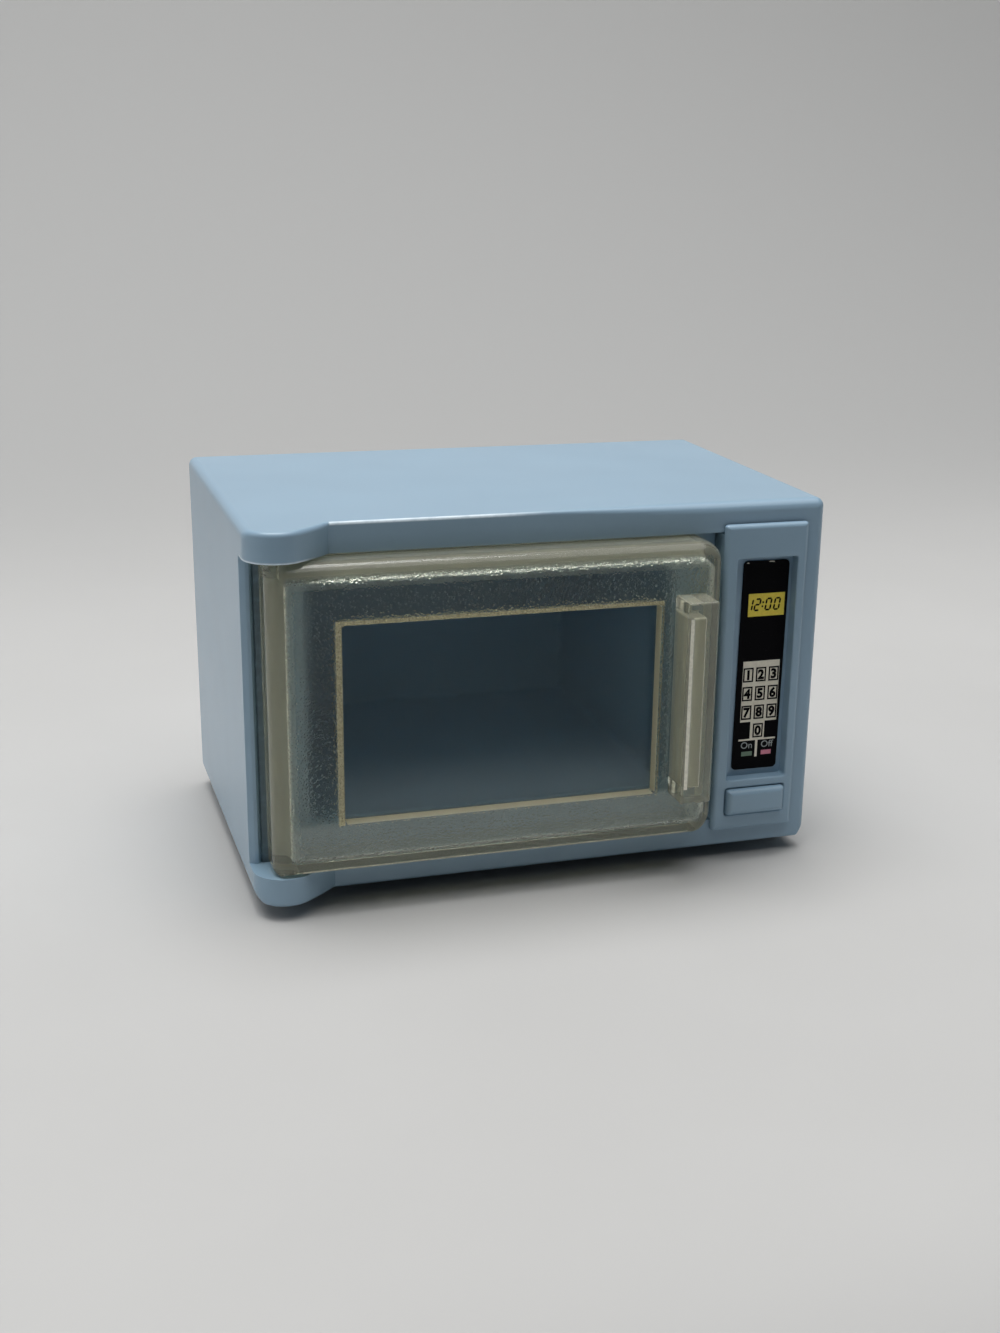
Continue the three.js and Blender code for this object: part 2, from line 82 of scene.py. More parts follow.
camera_data = bpy.data.cameras.new("camera")
camera_data.sensor_width = 36
camera_data.lens = lens_pixels / frame_height * camera_data.sensor_width
camera_data.shift_x = (frame_width / 2 - lens_middle[0]) / frame_height
camera_data.shift_y = (lens_middle[1] - frame_height / 2) / frame_height
camera_data.clip_start = 0.01
camera = bpy.data.objects.new("camera", camera_data)
camera_place = Matrix((cam_right, cam_up, -forward)).transposed().to_4x4()
camera_place.translation = row_frame @ cam_place
camera.matrix_world = camera_place
bpy.context.scene.collection.objects.link(camera)
bpy.context.scene.camera = camera


# Case: one sleeve of pale blue plastic from an injection mould, open at the front and the back. Both
# front lips carry a round ear at the left for the hinge, and four low pads lift it off the table.
case_left, case_right = -44, 44
side_wall, flat_wall = 1.8, 2.2
lip_height, lip_depth = 4.4, 2
opening_right = case_right - 3.5
opening_top = case_height - lip_height
hollow_left, hollow_right = case_left + side_wall, case_right - side_wall
hollow_top = case_height - flat_wall
pillar_front = 1.2
pillar_bow, pillar_crease, bow_inset, bow_extra = 6.0, 235, 0.9, 3
pillar_root = ((1, 0.4), (0, 0.3), (-0.2, 0), (-0.5, -0.27))
front_corner, back_corner = 1.3, 1.5
ear_radius, ear_reach = 4.65, 5.2
ear_x, ear_y = case_left + ear_radius, ear_radius - ear_reach
ear_foot = case_left + 12.1
ear_arc_end = math.radians(308)
ear_flank_share = 0.63
ear_foot_shift = 0.466
top_rounding = {"side": 1.3, "back": 1.5, "ear": 0.7}
bottom_rounding = {"side": 2.0, "back": 1.5, "ear": 0.8}
lip_sharp_radius, lip_soft_radius = 0.4, 1.5
lip_sharp_until, lip_soft_from = -2, 27
lip_bottom_radius = 0.5
rounding_depths = (0, 0.02, 0.07, 0.15, 0.3, 0.5, 0.7, 0.8, 1.05, 1.3, 1.5, 1.75, 2.0)
nose_steps, flank_steps, lip_steps, corner_steps, bow_steps = 18, 14, 24, 8, 8
least_corner = 0.1
hinge_x, hinge_y = case_left + 4.6, -2
socket_radius, socket_depth = 1.5, 2.2
foot_radius, foot_inset = 3, 10
foot_rounding_depths = (0, 0.04, 0.12, 0.24, 0.4)
edge_rounding, edge_steps = 0.22, 3
overrun = 6


def drawn_in(depth, radius):
    """How far a rounded edge stands back, at a depth below the face that it runs into."""
    short = max(radius - depth, 0)
    return radius - math.sqrt(radius * radius - short * short)


def smooth_share(value, start, end):
    """0 before start, 1 after end, and a smooth rise between them."""
    share = min(max((value - start) / (end - start), 0), 1)
    return share * share * (3 - 2 * share)


def arc(x, y, radius_x, radius_y, start, end, steps):
    """Points of an arc about (x, y), with both ends, in degrees."""
    angles = [math.radians(start + (end - start) * step / steps) for step in range(steps + 1)]
    return [(x + radius_x * math.cos(angle), y + radius_y * math.sin(angle)) for angle in angles]


def case_ring(z, side, back, ear, front):
    """One level outline of the case, anticlockwise from above; each side is drawn in by its own amount."""
    nose = []
    for x, y in arc(0, 0, 1, 1, 180, math.degrees(ear_arc_end), nose_steps):
        turned = smooth_share(math.degrees(math.atan2(y, x)) % 360, 180, 225)
        radius = ear_radius - side + (side - ear) * turned
        nose.append((ear_x + radius * x, ear_y + radius * y))
    foot = (ear_foot - ear_foot_shift * ear, front(ear_foot))
    flank_start = nose[-1]
    bend = math.dist(flank_start, foot) * ear_flank_share
    control = (flank_start[0] - bend * math.sin(ear_arc_end), flank_start[1] + bend * math.cos(ear_arc_end))
    flank = []
    for step in range(1, flank_steps):
        t = step / flank_steps
        flank.append(tuple(flank_start[i] * (1 - t) ** 2 + 2 * control[i] * t * (1 - t) + foot[i] * t * t
                           for i in range(2)))
    front_right = front(case_right)
    reach_x = max(front_corner, side + least_corner)
    reach_y = max(front_corner, front_right + least_corner)
    back_reach = max(back_corner, side + least_corner, back + least_corner)
    lip_end = case_right - reach_x
    lip = [(foot[0] + (lip_end - foot[0]) * step / lip_steps) for step in range(lip_steps)]
    outline = [(x, front(x)) for x in lip]
    outline += arc(lip_end, reach_y, reach_x - side, reach_y - front_right, 270, 360,
                   corner_steps)
    outline += arc(case_right - back_reach, case_depth - back_reach, back_reach - side, back_reach - back,
                   0, 90, corner_steps)
    outline += arc(case_left + back_reach, case_depth - back_reach, back_reach - side, back_reach - back,
                   90, 180, corner_steps)
    return [(x, y, z) for x, y in outline + nose + flank]


def skin(name, rings):
    """A closed mesh over rings of equal length, each anticlockwise as seen from the last one."""
    size = len(rings[0])
    points = [point for ring in rings for point in ring]
    faces = [tuple(reversed(range(size)))]
    for start in range(0, len(points) - size, size):
        for side in range(size):
            here, following = start + side, start + (side + 1) % size
            faces.append((here, following, following + size, here + size))
    faces.append(tuple(range(len(points) - size, len(points))))
    mesh = bpy.data.meshes.new(name)
    mesh.from_pydata(points, [], faces)
    piece = bpy.data.objects.new(name, mesh)
    bpy.context.scene.collection.objects.link(piece)
    return piece


def prism(name, outline, low, high):
    """An upright block over a flat outline that runs anticlockwise from above."""
    return skin(name, [[(x, y, z) for x, y in outline] for z in (low, high)])


def block(name, x0, x1, y0, y1, z0, z1):
    """A plain block between two corners, for cutting with and for what is out of sight."""
    return prism(name, [(x0, y0), (x1, y0), (x1, y1), (x0, y1)], z0, z1)


def bar(name, x, y, levels, sides=40):
    """An upright round bar; each level gives its height and its radius."""
    return skin(name, [[(px, py, z) for px, py in arc(x, y, radius, radius, 0, 360, sides)[:-1]]
                       for z, radius in levels])


def hold_fast(piece):
    """Makes the piece's modifiers part of its mesh."""
    bpy.context.view_layer.update()
    seen = piece.evaluated_get(bpy.context.evaluated_depsgraph_get())
    mesh = bpy.data.meshes.new_from_object(seen)
    piece.modifiers.clear()
    piece.data = mesh
    mesh.name = piece.name


def work(piece, tools, operation):
    """Cuts the tools out of the piece, or joins them to it, one after another."""
    for tool in tools:
        step = piece.modifiers.new(operation, "BOOLEAN")
        step.operation = operation
        step.solver = "EXACT"
        step.object = tool
    hold_fast(piece)
    for tool in tools:
        bpy.data.objects.remove(tool)


weld = 0.0005


def ease(piece, width, steps, wanted, least_angle=35):
    """Rounds the sharp outer edges whose middle is wanted, as the steel of a mould leaves them."""
    shape = bmesh.new()
    shape.from_mesh(piece.data)
    bmesh.ops.remove_doubles(shape, verts=shape.verts, dist=weld)
    sharp = [edge for edge in shape.edges if len(edge.link_faces) == 2 and edge.is_convex
             and edge.calc_face_angle() > math.radians(least_angle)
             and wanted((edge.verts[0].co + edge.verts[1].co) / 2)]
    bmesh.ops.bevel(shape, geom=sharp, offset=width, offset_type="OFFSET", segments=steps, profile=0.5,
                    affect="EDGES", clamp_overlap=True)
    shape.to_mesh(piece.data)
    shape.free()


def finish_piece(piece, body, finish, nodes=(), sharp_angle=40):
    """Puts a piece in its place in the row frame, shades it, hangs it on the body that it rides on and
    hides the CAD nodes that it stands for.
    """
    mesh = piece.data
    mesh.transform(row_frame)
    if finish:
        mesh.materials.clear()
        mesh.materials.append(finish)
        mesh.polygons.foreach_set("material_index", [0] * len(mesh.polygons))
    mesh.polygons.foreach_set("use_smooth", [True] * len(mesh.polygons))
    mesh.set_sharp_from_angle(angle=math.radians(sharp_angle))
    weighted = piece.modifiers.new("weighted", "WEIGHTED_NORMAL")
    weighted.keep_sharp = True
    hold_fast(piece)
    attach(piece, body)
    if nodes:
        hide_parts(*nodes)


def new_finish(name, colour, roughness):
    """A node material on one shader: gives the material, its tree and the shader."""
    finish = bpy.data.materials.new(name)
    finish.use_nodes = True
    shader = finish.node_tree.nodes["Principled BSDF"]
    shader.inputs["Base Color"].default_value = (*colour, 1)
    shader.inputs["Roughness"].default_value = roughness
    return finish, finish.node_tree, shader


def add(tree, kind, inputs=(), **settings):
    """A node with its settings and its inputs, each a value or another node's output."""
    node = tree.nodes.new(kind)
    for name, value in settings.items():
        setattr(node, name, value)
    for name, value in dict(inputs).items():
        if isinstance(value, bpy.types.NodeSocket):
            tree.links.new(value, node.inputs[name])
        else:
            node.inputs[name].default_value = value
    return node


def grain(tree, place, size_mm, detail=2.0, roughness=0.5, distortion=0.0):
    """Soft noise whose features are about size_mm across, from 0 to 1."""
    noise = add(tree, "ShaderNodeTexNoise", {"Vector": place, "Scale": 1 / (size_mm * MM), "Detail": detail,
                                             "Roughness": roughness, "Distortion": distortion})
    return noise.outputs["Fac"]


def spread(tree, value, low, high, to_low, to_high):
    """Maps a range of values smoothly onto another range."""
    node = add(tree, "ShaderNodeMapRange", {"Value": value, "From Min": low, "From Max": high,
                                            "To Min": to_low, "To Max": to_high},
               interpolation_type="SMOOTHSTEP")
    return node.outputs["Result"]


def blended(tree, share, first, second):
    """A colour between two colours."""
    node = add(tree, "ShaderNodeMix", data_type="RGBA")
    factor, low, high = (node.inputs[index] for index in (0, 6, 7))
    tree.links.new(share, factor)
    for socket, value in ((low, first), (high, second)):
        if isinstance(value, bpy.types.NodeSocket):
            tree.links.new(value, socket)
        else:
            socket.default_value = (*value, 1)
    return node.outputs[2]


def relief(tree, height, depth_mm, normal=None, strength=1.0):
    """A bump of a height map, depth_mm from its lowest to its highest place."""
    inputs = {"Height": height, "Strength": strength, "Distance": depth_mm * MM}
    if normal:
        inputs["Normal"] = normal
    return add(tree, "ShaderNodeBump", inputs).outputs["Normal"]


def maths(tree, operation, first, second, third=0.0):
    """A sum on two or three values, as one Math node."""
    node = add(tree, "ShaderNodeMath", {0: first, 1: second, 2: third}, operation=operation)
    return node.outputs["Value"]


def within(tree, place, low, high, soft=0.15):
    """1 inside a box given in the drawing's millimetres and 0 outside it, with soft edges. A limit of
    None leaves its side open."""
    parts = add(tree, "ShaderNodeSeparateXYZ", {"Vector": place}).outputs
    share = None
    for axis in range(3):
        for sign, limit in ((1, low[axis]), (-1, high[axis])):
            if limit is None:
                continue
            edge = row_frame.translation[axis] + limit * MM
            reach = sign * soft * MM / 2
            step = spread(tree, parts[axis], edge - reach, edge + reach, 0, 1)
            share = step if share is None else maths(tree, "MULTIPLY", share, step)
    return share


def moulded_plastic(name, dark, light, gloss, painted_light_zones=(), painted_light_shade=(0.8, 0.92, 1.0)):
    """Opaque toy plastic: an even colour and gloss with a little cloudiness, and in its zones a mottled
    colour painted for a highlight or a shade. Each zone is its lowest and its highest corner and how softly
    it ends at its right."""
    finish, tree, shader = new_finish(name, light, gloss)
    shader.inputs["IOR"].default_value = 1.5
    place = add(tree, "ShaderNodeTexCoord").outputs["Object"]
    cloud_size, painted_mottle_size, handling_size = 18, 1.2, 9
    cloud = spread(tree, grain(tree, place, cloud_size, 0), 0.2, 0.8, 0, 1)
    shade = blended(tree, cloud, dark, light)
    # Painted light: each zone blends in a paler or darker colour that stands for a highlight or a shade.
    for low, high, fade in painted_light_zones:
        painted_light_share = spread(tree, grain(tree, place, painted_mottle_size, 3), 0.2, 0.6, 0.6, 1)
        strip = within(tree, place, low, (None, *high[1:]), 0.25)
        right_end = within(tree, place, (None,) * 3, (high[0], None, None), fade)
        painted_light_share = maths(tree, "MULTIPLY", painted_light_share, maths(tree, "MULTIPLY", strip, right_end))
        shade = blended(tree, painted_light_share, shade, painted_light_shade)
    tree.links.new(shade, shader.inputs["Base Color"])
    handled = spread(tree, grain(tree, place, handling_size, 0), 0.1, 0.9, gloss - 0.01, gloss + 0.02)
    tree.links.new(handled, shader.inputs["Roughness"])
    return finish


# Painted highlights: the top lip's front edge is painted pale at the left, and the lower edge of the ear
# above, for the thin bright lines that the lamps' reflections draw on these edges.
lip_painted_highlight = ((ear_foot + 0.2, -0.3, case_height - 0.42), (lip_sharp_until - 2, 0.32, case_height + 0.3), 14)
ear_painted_highlight = ((case_left - 1, ear_y - 9, opening_top - 0.1), (ear_foot - 3, ear_y + 2, opening_top + 0.2), 4)
blue_plastic = moulded_plastic("blue_plastic", (0.278, 0.412, 0.53), (0.288, 0.425, 0.545), 0.25,
                               (lip_painted_highlight, ear_painted_highlight))


def lip_edge(depth):
    """How far the top lip's front edge stands back, from a crisp edge at the left to a soft one."""
    def at(x):
        soft = smooth_share(x, lip_sharp_until, lip_soft_from)
        return drawn_in(depth, lip_sharp_radius + (lip_soft_radius - lip_sharp_radius) * soft)
    return at


case_rings = []
for depth in rounding_depths:
    drawn = [drawn_in(depth, radius) for radius in bottom_rounding.values()]
    case_rings.append(case_ring(depth, *drawn, lambda x: drawn_in(depth, lip_bottom_radius)))
for depth in reversed(rounding_depths):
    drawn = [drawn_in(depth, radius) for radius in top_rounding.values()]
    case_rings.append(case_ring(case_height - depth, *drawn, lip_edge(depth)))
case = skin("case_shell_blue", case_rings)

bow_x = case_left - pillar_bow * math.cos(math.radians(pillar_crease))
bow_end = 360 - math.degrees(math.acos((hollow_left - bow_inset - bow_x) / pillar_bow))
bow = arc(bow_x, pillar_front + pillar_bow, pillar_bow, pillar_bow, bow_end,
          pillar_crease - bow_extra, bow_steps)
pillar = [(hollow_left + x, lip_depth + y) for x, y in pillar_root] + bow
opening = [(case_left - overrun, -2 * overrun), (opening_right, -2 * overrun),
           (opening_right, lip_depth + overrun), (pillar[0][0], lip_depth + overrun)]
opening += pillar + [(case_left - overrun, pillar[-1][1])]
cutters = [
    block("hollow", hollow_left, hollow_right, lip_depth, case_depth + overrun, flat_wall,
          hollow_top),
    prism("opening", opening, lip_height, opening_top),
]
for level in (lip_height, opening_top):
    cutters.append(bar("socket", hinge_x, hinge_y, [(level - socket_depth, socket_radius),
                                                    (level + socket_depth, socket_radius)]))
work(case, cutters, "DIFFERENCE")
feet = []
for x in (case_left + foot_inset, case_right - foot_inset):
    for y in (foot_inset, case_depth - foot_inset):
        levels = [(-foot_height + depth, foot_radius - drawn_in(depth, foot_rounding_depths[-1]))
                  for depth in foot_rounding_depths]
        feet.append(bar("foot", x, y, levels + [(flat_wall / 2, foot_radius)]))
work(case, feet, "UNION")


def case_edge(middle):
    """The edges of the ears' and lips' inner faces, of the pillar and of the open back."""
    near = 0.05
    at_level = min(abs(middle.z - lip_height), abs(middle.z - opening_top)) < near
    at_lips = at_level and middle.y < lip_depth - near
    in_socket = math.dist(middle.xy, (hinge_x, hinge_y)) < socket_radius + 2 * near
    at_return = abs(middle.x - opening_right) < near and middle.y < near
    return (at_lips and not in_socket) or at_return or middle.y > case_depth - near


ease(case, edge_rounding, edge_steps, case_edge)
finish_piece(case, "case", blue_plastic, ["case_shell"])


# Oven liner: the oven's inside, a tub of the same blue plastic with a flange that sits behind the
# front lips. Its inner corners are rounded and it narrows a little towards the back.
liner_low, liner_high = box_mm("oven_liner")
liner_wall, oven_draft = 1.2, 0.45
oven_margins = {"left": 6.8, "right": 6.6, "bottom": 8, "top": 5.9}
oven_corner, mouth_rounding, floor_rounding = 1.0, 0.4, 0.8
tub_back_rounding = ((0, 0.6), (0.15, 0.2), (0.6, 0))
flange_lap, flange_corner, flange_edge = 0.27, 0.6, 0.15


def ring(outline, y, inset=0.0, steps=6):
    """One upright outline of a rounded rectangle at depth y, anticlockwise from the front.
    The outline is (left, right, bottom, top, corner radii anticlockwise from the lower right)."""
    left, right, bottom, top, radii = outline
    points = []
    corners = ((right, bottom, -1, 1), (right, top, -1, -1), (left, top, 1, -1), (left, bottom, 1, 1))
    for turn, (x, z, in_x, in_z) in enumerate(corners):
        radius = max(radii[turn] - inset, 0.1 * radii[turn], 0.001)
        points += arc(x + in_x * (inset + radius), z + in_z * (inset + radius), radius, radius,
                      90 * turn - 90, 90 * turn, steps)
    return [(x, y, z) for x, z in points]


def rounded_front(outline, front, radius, steps=8, low_radius=None):
    """Rings that round an outline over into its front face, its low side perhaps more tightly."""
    rings = []
    for step in range(steps + 1):
        angle = math.radians(90) * step / steps
        depth, inset = radius * (1 - math.sin(angle)), radius * (1 - math.cos(angle))
        low_inset = drawn_in(depth, low_radius) if low_radius else inset
        left, right, bottom, top, radii = outline
        rings.append(ring((left, right, bottom + low_inset - inset, top, radii), front + depth, inset))
    return rings


flange = (liner_low.x - flange_lap, liner_high.x, liner_low.z, liner_high.z, (flange_corner,) * 4)
oven = (liner_low.x + oven_margins["left"], liner_high.x - oven_margins["right"],
        liner_low.z + oven_margins["bottom"], liner_high.z - oven_margins["top"], (oven_corner,) * 4)
tub = (oven[0] - liner_wall, oven[1] + liner_wall, oven[2] - liner_wall, oven[3] + liner_wall,
       (oven_corner + liner_wall,) * 4)
flange_front, flange_back = liner_low.y, liner_low.y + liner_wall
oven_back = liner_high.y - liner_wall
mouth_angles = [math.radians(15 * step) for step in range(7)]
liner_rings = [ring(tub, liner_high.y - depth, oven_draft + inset) for depth, inset in tub_back_rounding]
liner_rings += [ring(tub, flange_back), ring(flange, flange_back), ring(flange, flange_front + flange_edge),
                ring(flange, flange_front, flange_edge)]
liner_rings += [ring(oven, flange_front + mouth_rounding * (1 - math.cos(angle)),
                     mouth_rounding * (math.sin(angle) - 1)) for angle in mouth_angles]
liner_rings += [ring(oven, oven_back - floor_rounding + floor_rounding * math.sin(angle),
                     oven_draft + floor_rounding * (1 - math.cos(angle))) for angle in mouth_angles]
# Painted shade: the flange is painted darker in the narrow gap between the door's hinge side and the
# pillar, where the door and the case shade it.
hinge_painted_shade = ((hollow_left - 1, liner_low.y - 1, 0),
               (liner_low.x + 2.2, liner_low.y + 0.5, case_height), 0.8)
liner_plastic = moulded_plastic("liner_plastic", (0.25, 0.40, 0.545), (0.26, 0.415, 0.56), 0.38,
                                (hinge_painted_shade,), (0.13, 0.19, 0.23))
liner = skin("oven_liner_tub", liner_rings)
finish_piece(liner, "case", liner_plastic, ["oven_liner"])


# Rear cover: a blue plate pressed into the case's open back, where four spring tabs hold it; the tabs are
# not drawn. A row of shallow grooves stands for the vents of a real oven.
cover_low, cover_high = box_mm("rear_cover")
cover_side_gap, cover_corner = 0.3, 0.8
cover_levels = ((0, 0.25), (0.07, 0.07), (0.25, 0), (1.2, 0))
groove_count, groove_pitch, groove_length, groove_width, groove_depth = 7, 2.6, 26, 1.1, 0.35


class Rule:
    """A geometry node tree with named inputs, and the plain piece that it makes."""

    def __init__(self, name, sizes):
        self.tree = bpy.data.node_groups.new(name, "GeometryNodeTree")
        self.sizes = sizes
        self.tree.interface.new_socket("Geometry", in_out="OUTPUT", socket_type="NodeSocketGeometry")
        for size, value in sizes.items():
            kind = "NodeSocketInt" if isinstance(value, int) else "NodeSocketFloat"
            self.tree.interface.new_socket(size, in_out="INPUT", socket_type=kind)
        self.given = self.tree.nodes.new("NodeGroupInput").outputs

    def node(self, kind, inputs=(), **settings):
        return add(self.tree, kind, inputs, **settings).outputs

    def offset(self, x=0.0, y=0.0, z=0.0):
        """A vector of three sizes."""
        return self.node("ShaderNodeCombineXYZ", {"X": x, "Y": y, "Z": z})["Vector"]

    def product(self, first, second):
        return self.node("ShaderNodeMath", {0: first, 1: second}, operation="MULTIPLY")["Value"]

    def piece(self, name, shape, finish):
        """Sets the sizes, makes the shape a plain mesh, and returns it as a piece."""
        real = self.node("GeometryNodeRealizeInstances", {"Geometry": shape})["Geometry"]
        painted = add(self.tree, "GeometryNodeSetMaterial", {"Geometry": real})
        painted.inputs["Material"].default_value = finish
        out = self.tree.nodes.new("NodeGroupOutput")
        self.tree.links.new(painted.outputs["Geometry"], out.inputs["Geometry"])
        piece = bpy.data.objects.new(name, bpy.data.meshes.new(name))
        bpy.context.scene.collection.objects.link(piece)
        maker = piece.modifiers.new(name, "NODES")
        maker.node_group = self.tree
        for socket in self.tree.interface.items_tree:
            if socket.in_out == "INPUT":
                maker[socket.identifier] = self.sizes[socket.name]
        hold_fast(piece)
        return piece


cover = (cover_low.x, cover_high.x, flat_wall + cover_side_gap, hollow_top - cover_side_gap,
         (cover_corner,) * 4)
cover_rings = [ring(cover, cover_high.y - depth, inset) for depth, inset in cover_levels]
rear_cover = skin("rear_cover_plate", cover_rings)
vents = Rule("vent_grooves", {"Count": groove_count, "Pitch": groove_pitch, "Length": groove_length,
                              "Width": groove_width, "Depth": groove_depth})
groove_line = vents.node("GeometryNodeMeshLine", {"Count": vents.given["Count"],
                                                  "Offset": vents.offset(z=vents.given["Pitch"])})["Mesh"]
bead = vents.node("GeometryNodeMeshCylinder",
                  {"Vertices": 20, "Radius": vents.product(vents.given["Width"], 0.5),
                   "Depth": vents.given["Length"]})["Mesh"]
flat_bead = vents.node("GeometryNodeTransform",
                       {"Geometry": bead, "Rotation": (0, math.radians(90), 0)})["Geometry"]
groove_set = vents.node("GeometryNodeInstanceOnPoints", {"Points": groove_line, "Instance": flat_bead})
grooves = vents.piece("grooves", groove_set["Instances"], blue_plastic)
groove_middle = (groove_count - 1) * groove_pitch / 2
grooves.data.transform(Matrix.Translation((0, cover_high.y + groove_width / 2 - groove_depth,
                                           case_height / 2 - groove_middle)))
work(rear_cover, [grooves], "DIFFERENCE")
finish_piece(rear_cover, "case", blue_plastic, ["rear_cover"])


# Control panel: a blue bezel clipped over the lips, with a deep recess for the label, and under it
# a hole for the button. A plate behind the hole takes the button's spring.
panel_low, panel_high = box_mm("control_panel")
panel_fillet, panel_corner, panel_wall = 0.78, 0.5, 1.2
bezel_bottom, bezel_top = lip_height - 1.65, opening_top + 1.2
recess_margins = {"left": 2.15, "right": 1.6, "top": 5.2}
hole_margins = {"left": 2.0, "right": 1.65, "bottom": 2.55}
hole_height, hole_web, hole_corner, recess_sink, mouth = 4.4, 1.3, 0.4, 2.1, 0.3
lip_clearance, collar_side = 0.3, 0.5
shelf_thickness, shelf_inset = 0.9, 0.4
plate_front, plate_back = 5.0, 6.0

bezel = (panel_low.x, panel_high.x, bezel_bottom, bezel_top, (panel_corner,) * 4)
hole = (panel_low.x + hole_margins["left"], panel_high.x - hole_margins["right"],
        bezel_bottom + hole_margins["bottom"], bezel_bottom + hole_margins["bottom"] + hole_height,
        (hole_corner,) * 4)
recess = (panel_low.x + recess_margins["left"], panel_high.x - recess_margins["right"],
          hole[3] + hole_web, bezel_top - recess_margins["top"], (hole_corner,) * 4)
recess_floor = panel_low.y + recess_sink
shelf_low = recess[2] - shelf_thickness
body_right = opening_right - lip_clearance
chamber_left = hole[0] - collar_side - lip_clearance

panel = skin("control_panel_bezel",
             [ring(bezel, -lip_clearance)] + rounded_front(bezel, panel_low.y, panel_fillet))
panel_core = block("panel_core", panel_low.x, body_right, panel_low.y / 2, flange_back,
                   lip_height + lip_clearance, opening_top - lip_clearance)
chamber = block("chamber", chamber_left, body_right + overrun, -overrun, flange_back + overrun,
                0, shelf_low)
behind_recess = block("behind_recess", panel_low.x + panel_wall, recess[1], recess_floor + panel_wall,
                      flange_back + overrun, recess[2], recess[3])
work(panel_core, [chamber, behind_recess], "DIFFERENCE")
work(panel, [panel_core], "UNION")


def mouth_tool(name, outline, depth):
    """Cuts an opening into the bezel down to a depth, and rounds its mouth."""
    rings = [ring(outline, depth), ring(outline, panel_low.y + mouth)]
    rings += [ring(outline, panel_low.y + mouth * (1 - math.sin(angle)), -mouth * (1 - math.cos(angle)))
              for angle in mouth_angles[1:]]
    return skin(name, rings + [ring(outline, panel_low.y - overrun, -mouth)])


mouth_tools = [mouth_tool("recess_tool", recess, recess_floor), mouth_tool("hole_tool", hole, 0)]
work(panel, mouth_tools, "DIFFERENCE")
shelf_left, shelf_right = hole[0] + shelf_inset, hole[1] - shelf_inset
work(panel, [
    block("shelf", shelf_left, shelf_right, recess_floor + panel_wall, plate_back, shelf_low, recess[2]),
    block("spring_plate", shelf_left, shelf_right, plate_front, plate_back, hole[2], recess[2]),
], "UNION")
finish_piece(panel, "case", blue_plastic, ["control_panel"])


# Panel label: a black printed sticker on the recess floor, gloss black with a yellow display, white
# keys and two coloured bars. Its print is flat ink, drawn here as films a few hundredths high.
label_low, label_high = box_mm("panel_label")
label_corner, label_edge, label_turn, film = 0.7, 0.04, math.radians(0.45), 0.02
label_front = label_low.y
label_outline = (label_low.x, label_high.x, label_low.z, label_high.z, (label_corner,) * 4)


def printed(name, colour, roughness, chips=0.0):
    """Printed ink: slightly uneven, with specks where the paper shows through."""
    finish, tree, shader = new_finish(name, colour, roughness)
    shader.inputs["Specular IOR Level"].default_value = 0.05
    place = add(tree, "ShaderNodeTexCoord").outputs["Object"]
    mottle_size, chip_size, ripple_size, ripple_height = 0.5, 0.16, 0.6, 0.004
    uneven = spread(tree, grain(tree, place, mottle_size, 4, 0.6), 0.3, 0.7, 0, 1)
    shade = blended(tree, uneven, tuple(0.9 * part for part in colour), colour)
    if chips:
        speck = spread(tree, grain(tree, place, chip_size, 1), 0.76, 0.79, 0, chips)
        shade = blended(tree, speck, shade, (0.5, 0.5, 0.48))
    tree.links.new(shade, shader.inputs["Base Color"])
    dullness = spread(tree, uneven, 0, 1, roughness - 0.05, roughness + 0.08)
    tree.links.new(dullness, shader.inputs["Roughness"])
    ripple = relief(tree, grain(tree, place, ripple_size, 2), ripple_height)
    tree.links.new(ripple, shader.inputs["Normal"])
    return finish


black_ink = printed("black_print", (0.002, 0.002, 0.003), 0.5, 0.1)
yellow_ink = printed("yellow_print", (0.90, 0.74, 0.12), 0.5)
white_ink = printed("white_print", (0.86, 0.82, 0.70), 0.5)
grey_ink = printed("grey_print", (0.42, 0.46, 0.46), 0.5)
green_ink = printed("green_print", (0.20, 0.29, 0.22), 0.5)
pink_ink = printed("pink_print", (0.78, 0.30, 0.40), 0.5)

label = skin("panel_label_sheet", [ring(label_outline, label_high.y),
                                   ring(label_outline, label_front + label_edge),
                                   ring(label_outline, label_front, label_edge)])
label_middle = Vector(((label_low.x + label_high.x) / 2, 0, (label_low.z + label_high.z) / 2))
label.data.transform(Matrix.Translation(label_middle) @ Matrix.Rotation(label_turn, 4, "Y")
                     @ Matrix.Translation(-label_middle))
finish_piece(label, "case", black_ink, ["panel_label"])

display = (32.36, 38.36, 36.7, 40.28)
keys_left, keys_right = 32.1, 38.22
header_top, keys_top, keys_bottom = 29.6, 28.94, 19.8
key_pitch_x, key_pitch_z = 2.13, 3.04
key_width, key_height, key_line, key_line_rise = 1.47, 2.06, 0.31, 1.6
keys_x = (keys_left + keys_right) / 2
zero_left, zero_right, zero_bottom = 33.86, 36.26, 17.0
rule_left, rule_height = 32.0, 0.28
divider, divider_half, divider_bottom = 35.05, 0.2, 13.98


def films(name, outlines, layer, finish):
    """Flat patches of ink, one film above the layer below, joined as one piece."""
    mesh = bmesh.new()
    for outline in outlines:
        front, back = (label_front - (layer + lift) * film for lift in (1, -0.5))
        corners = [[mesh.verts.new((x, y, z)) for x, z in outline] for y in (front, back)]
        mesh.faces.new(corners[0])
        mesh.faces.new(reversed(corners[1]))
        for side in range(len(outline)):
            after = (side + 1) % len(outline)
            mesh.faces.new((corners[0][side], corners[1][side], corners[1][after], corners[0][after]))
    bmesh.ops.recalc_face_normals(mesh, faces=mesh.faces)
    data = bpy.data.meshes.new(name)
    mesh.to_mesh(data)
    mesh.free()
    piece = bpy.data.objects.new(name, data)
    bpy.context.scene.collection.objects.link(piece)
    finish_piece(piece, "case", finish)


def patch(left, right, bottom, top):
    return [(left, bottom), (right, bottom), (right, top), (left, top)]


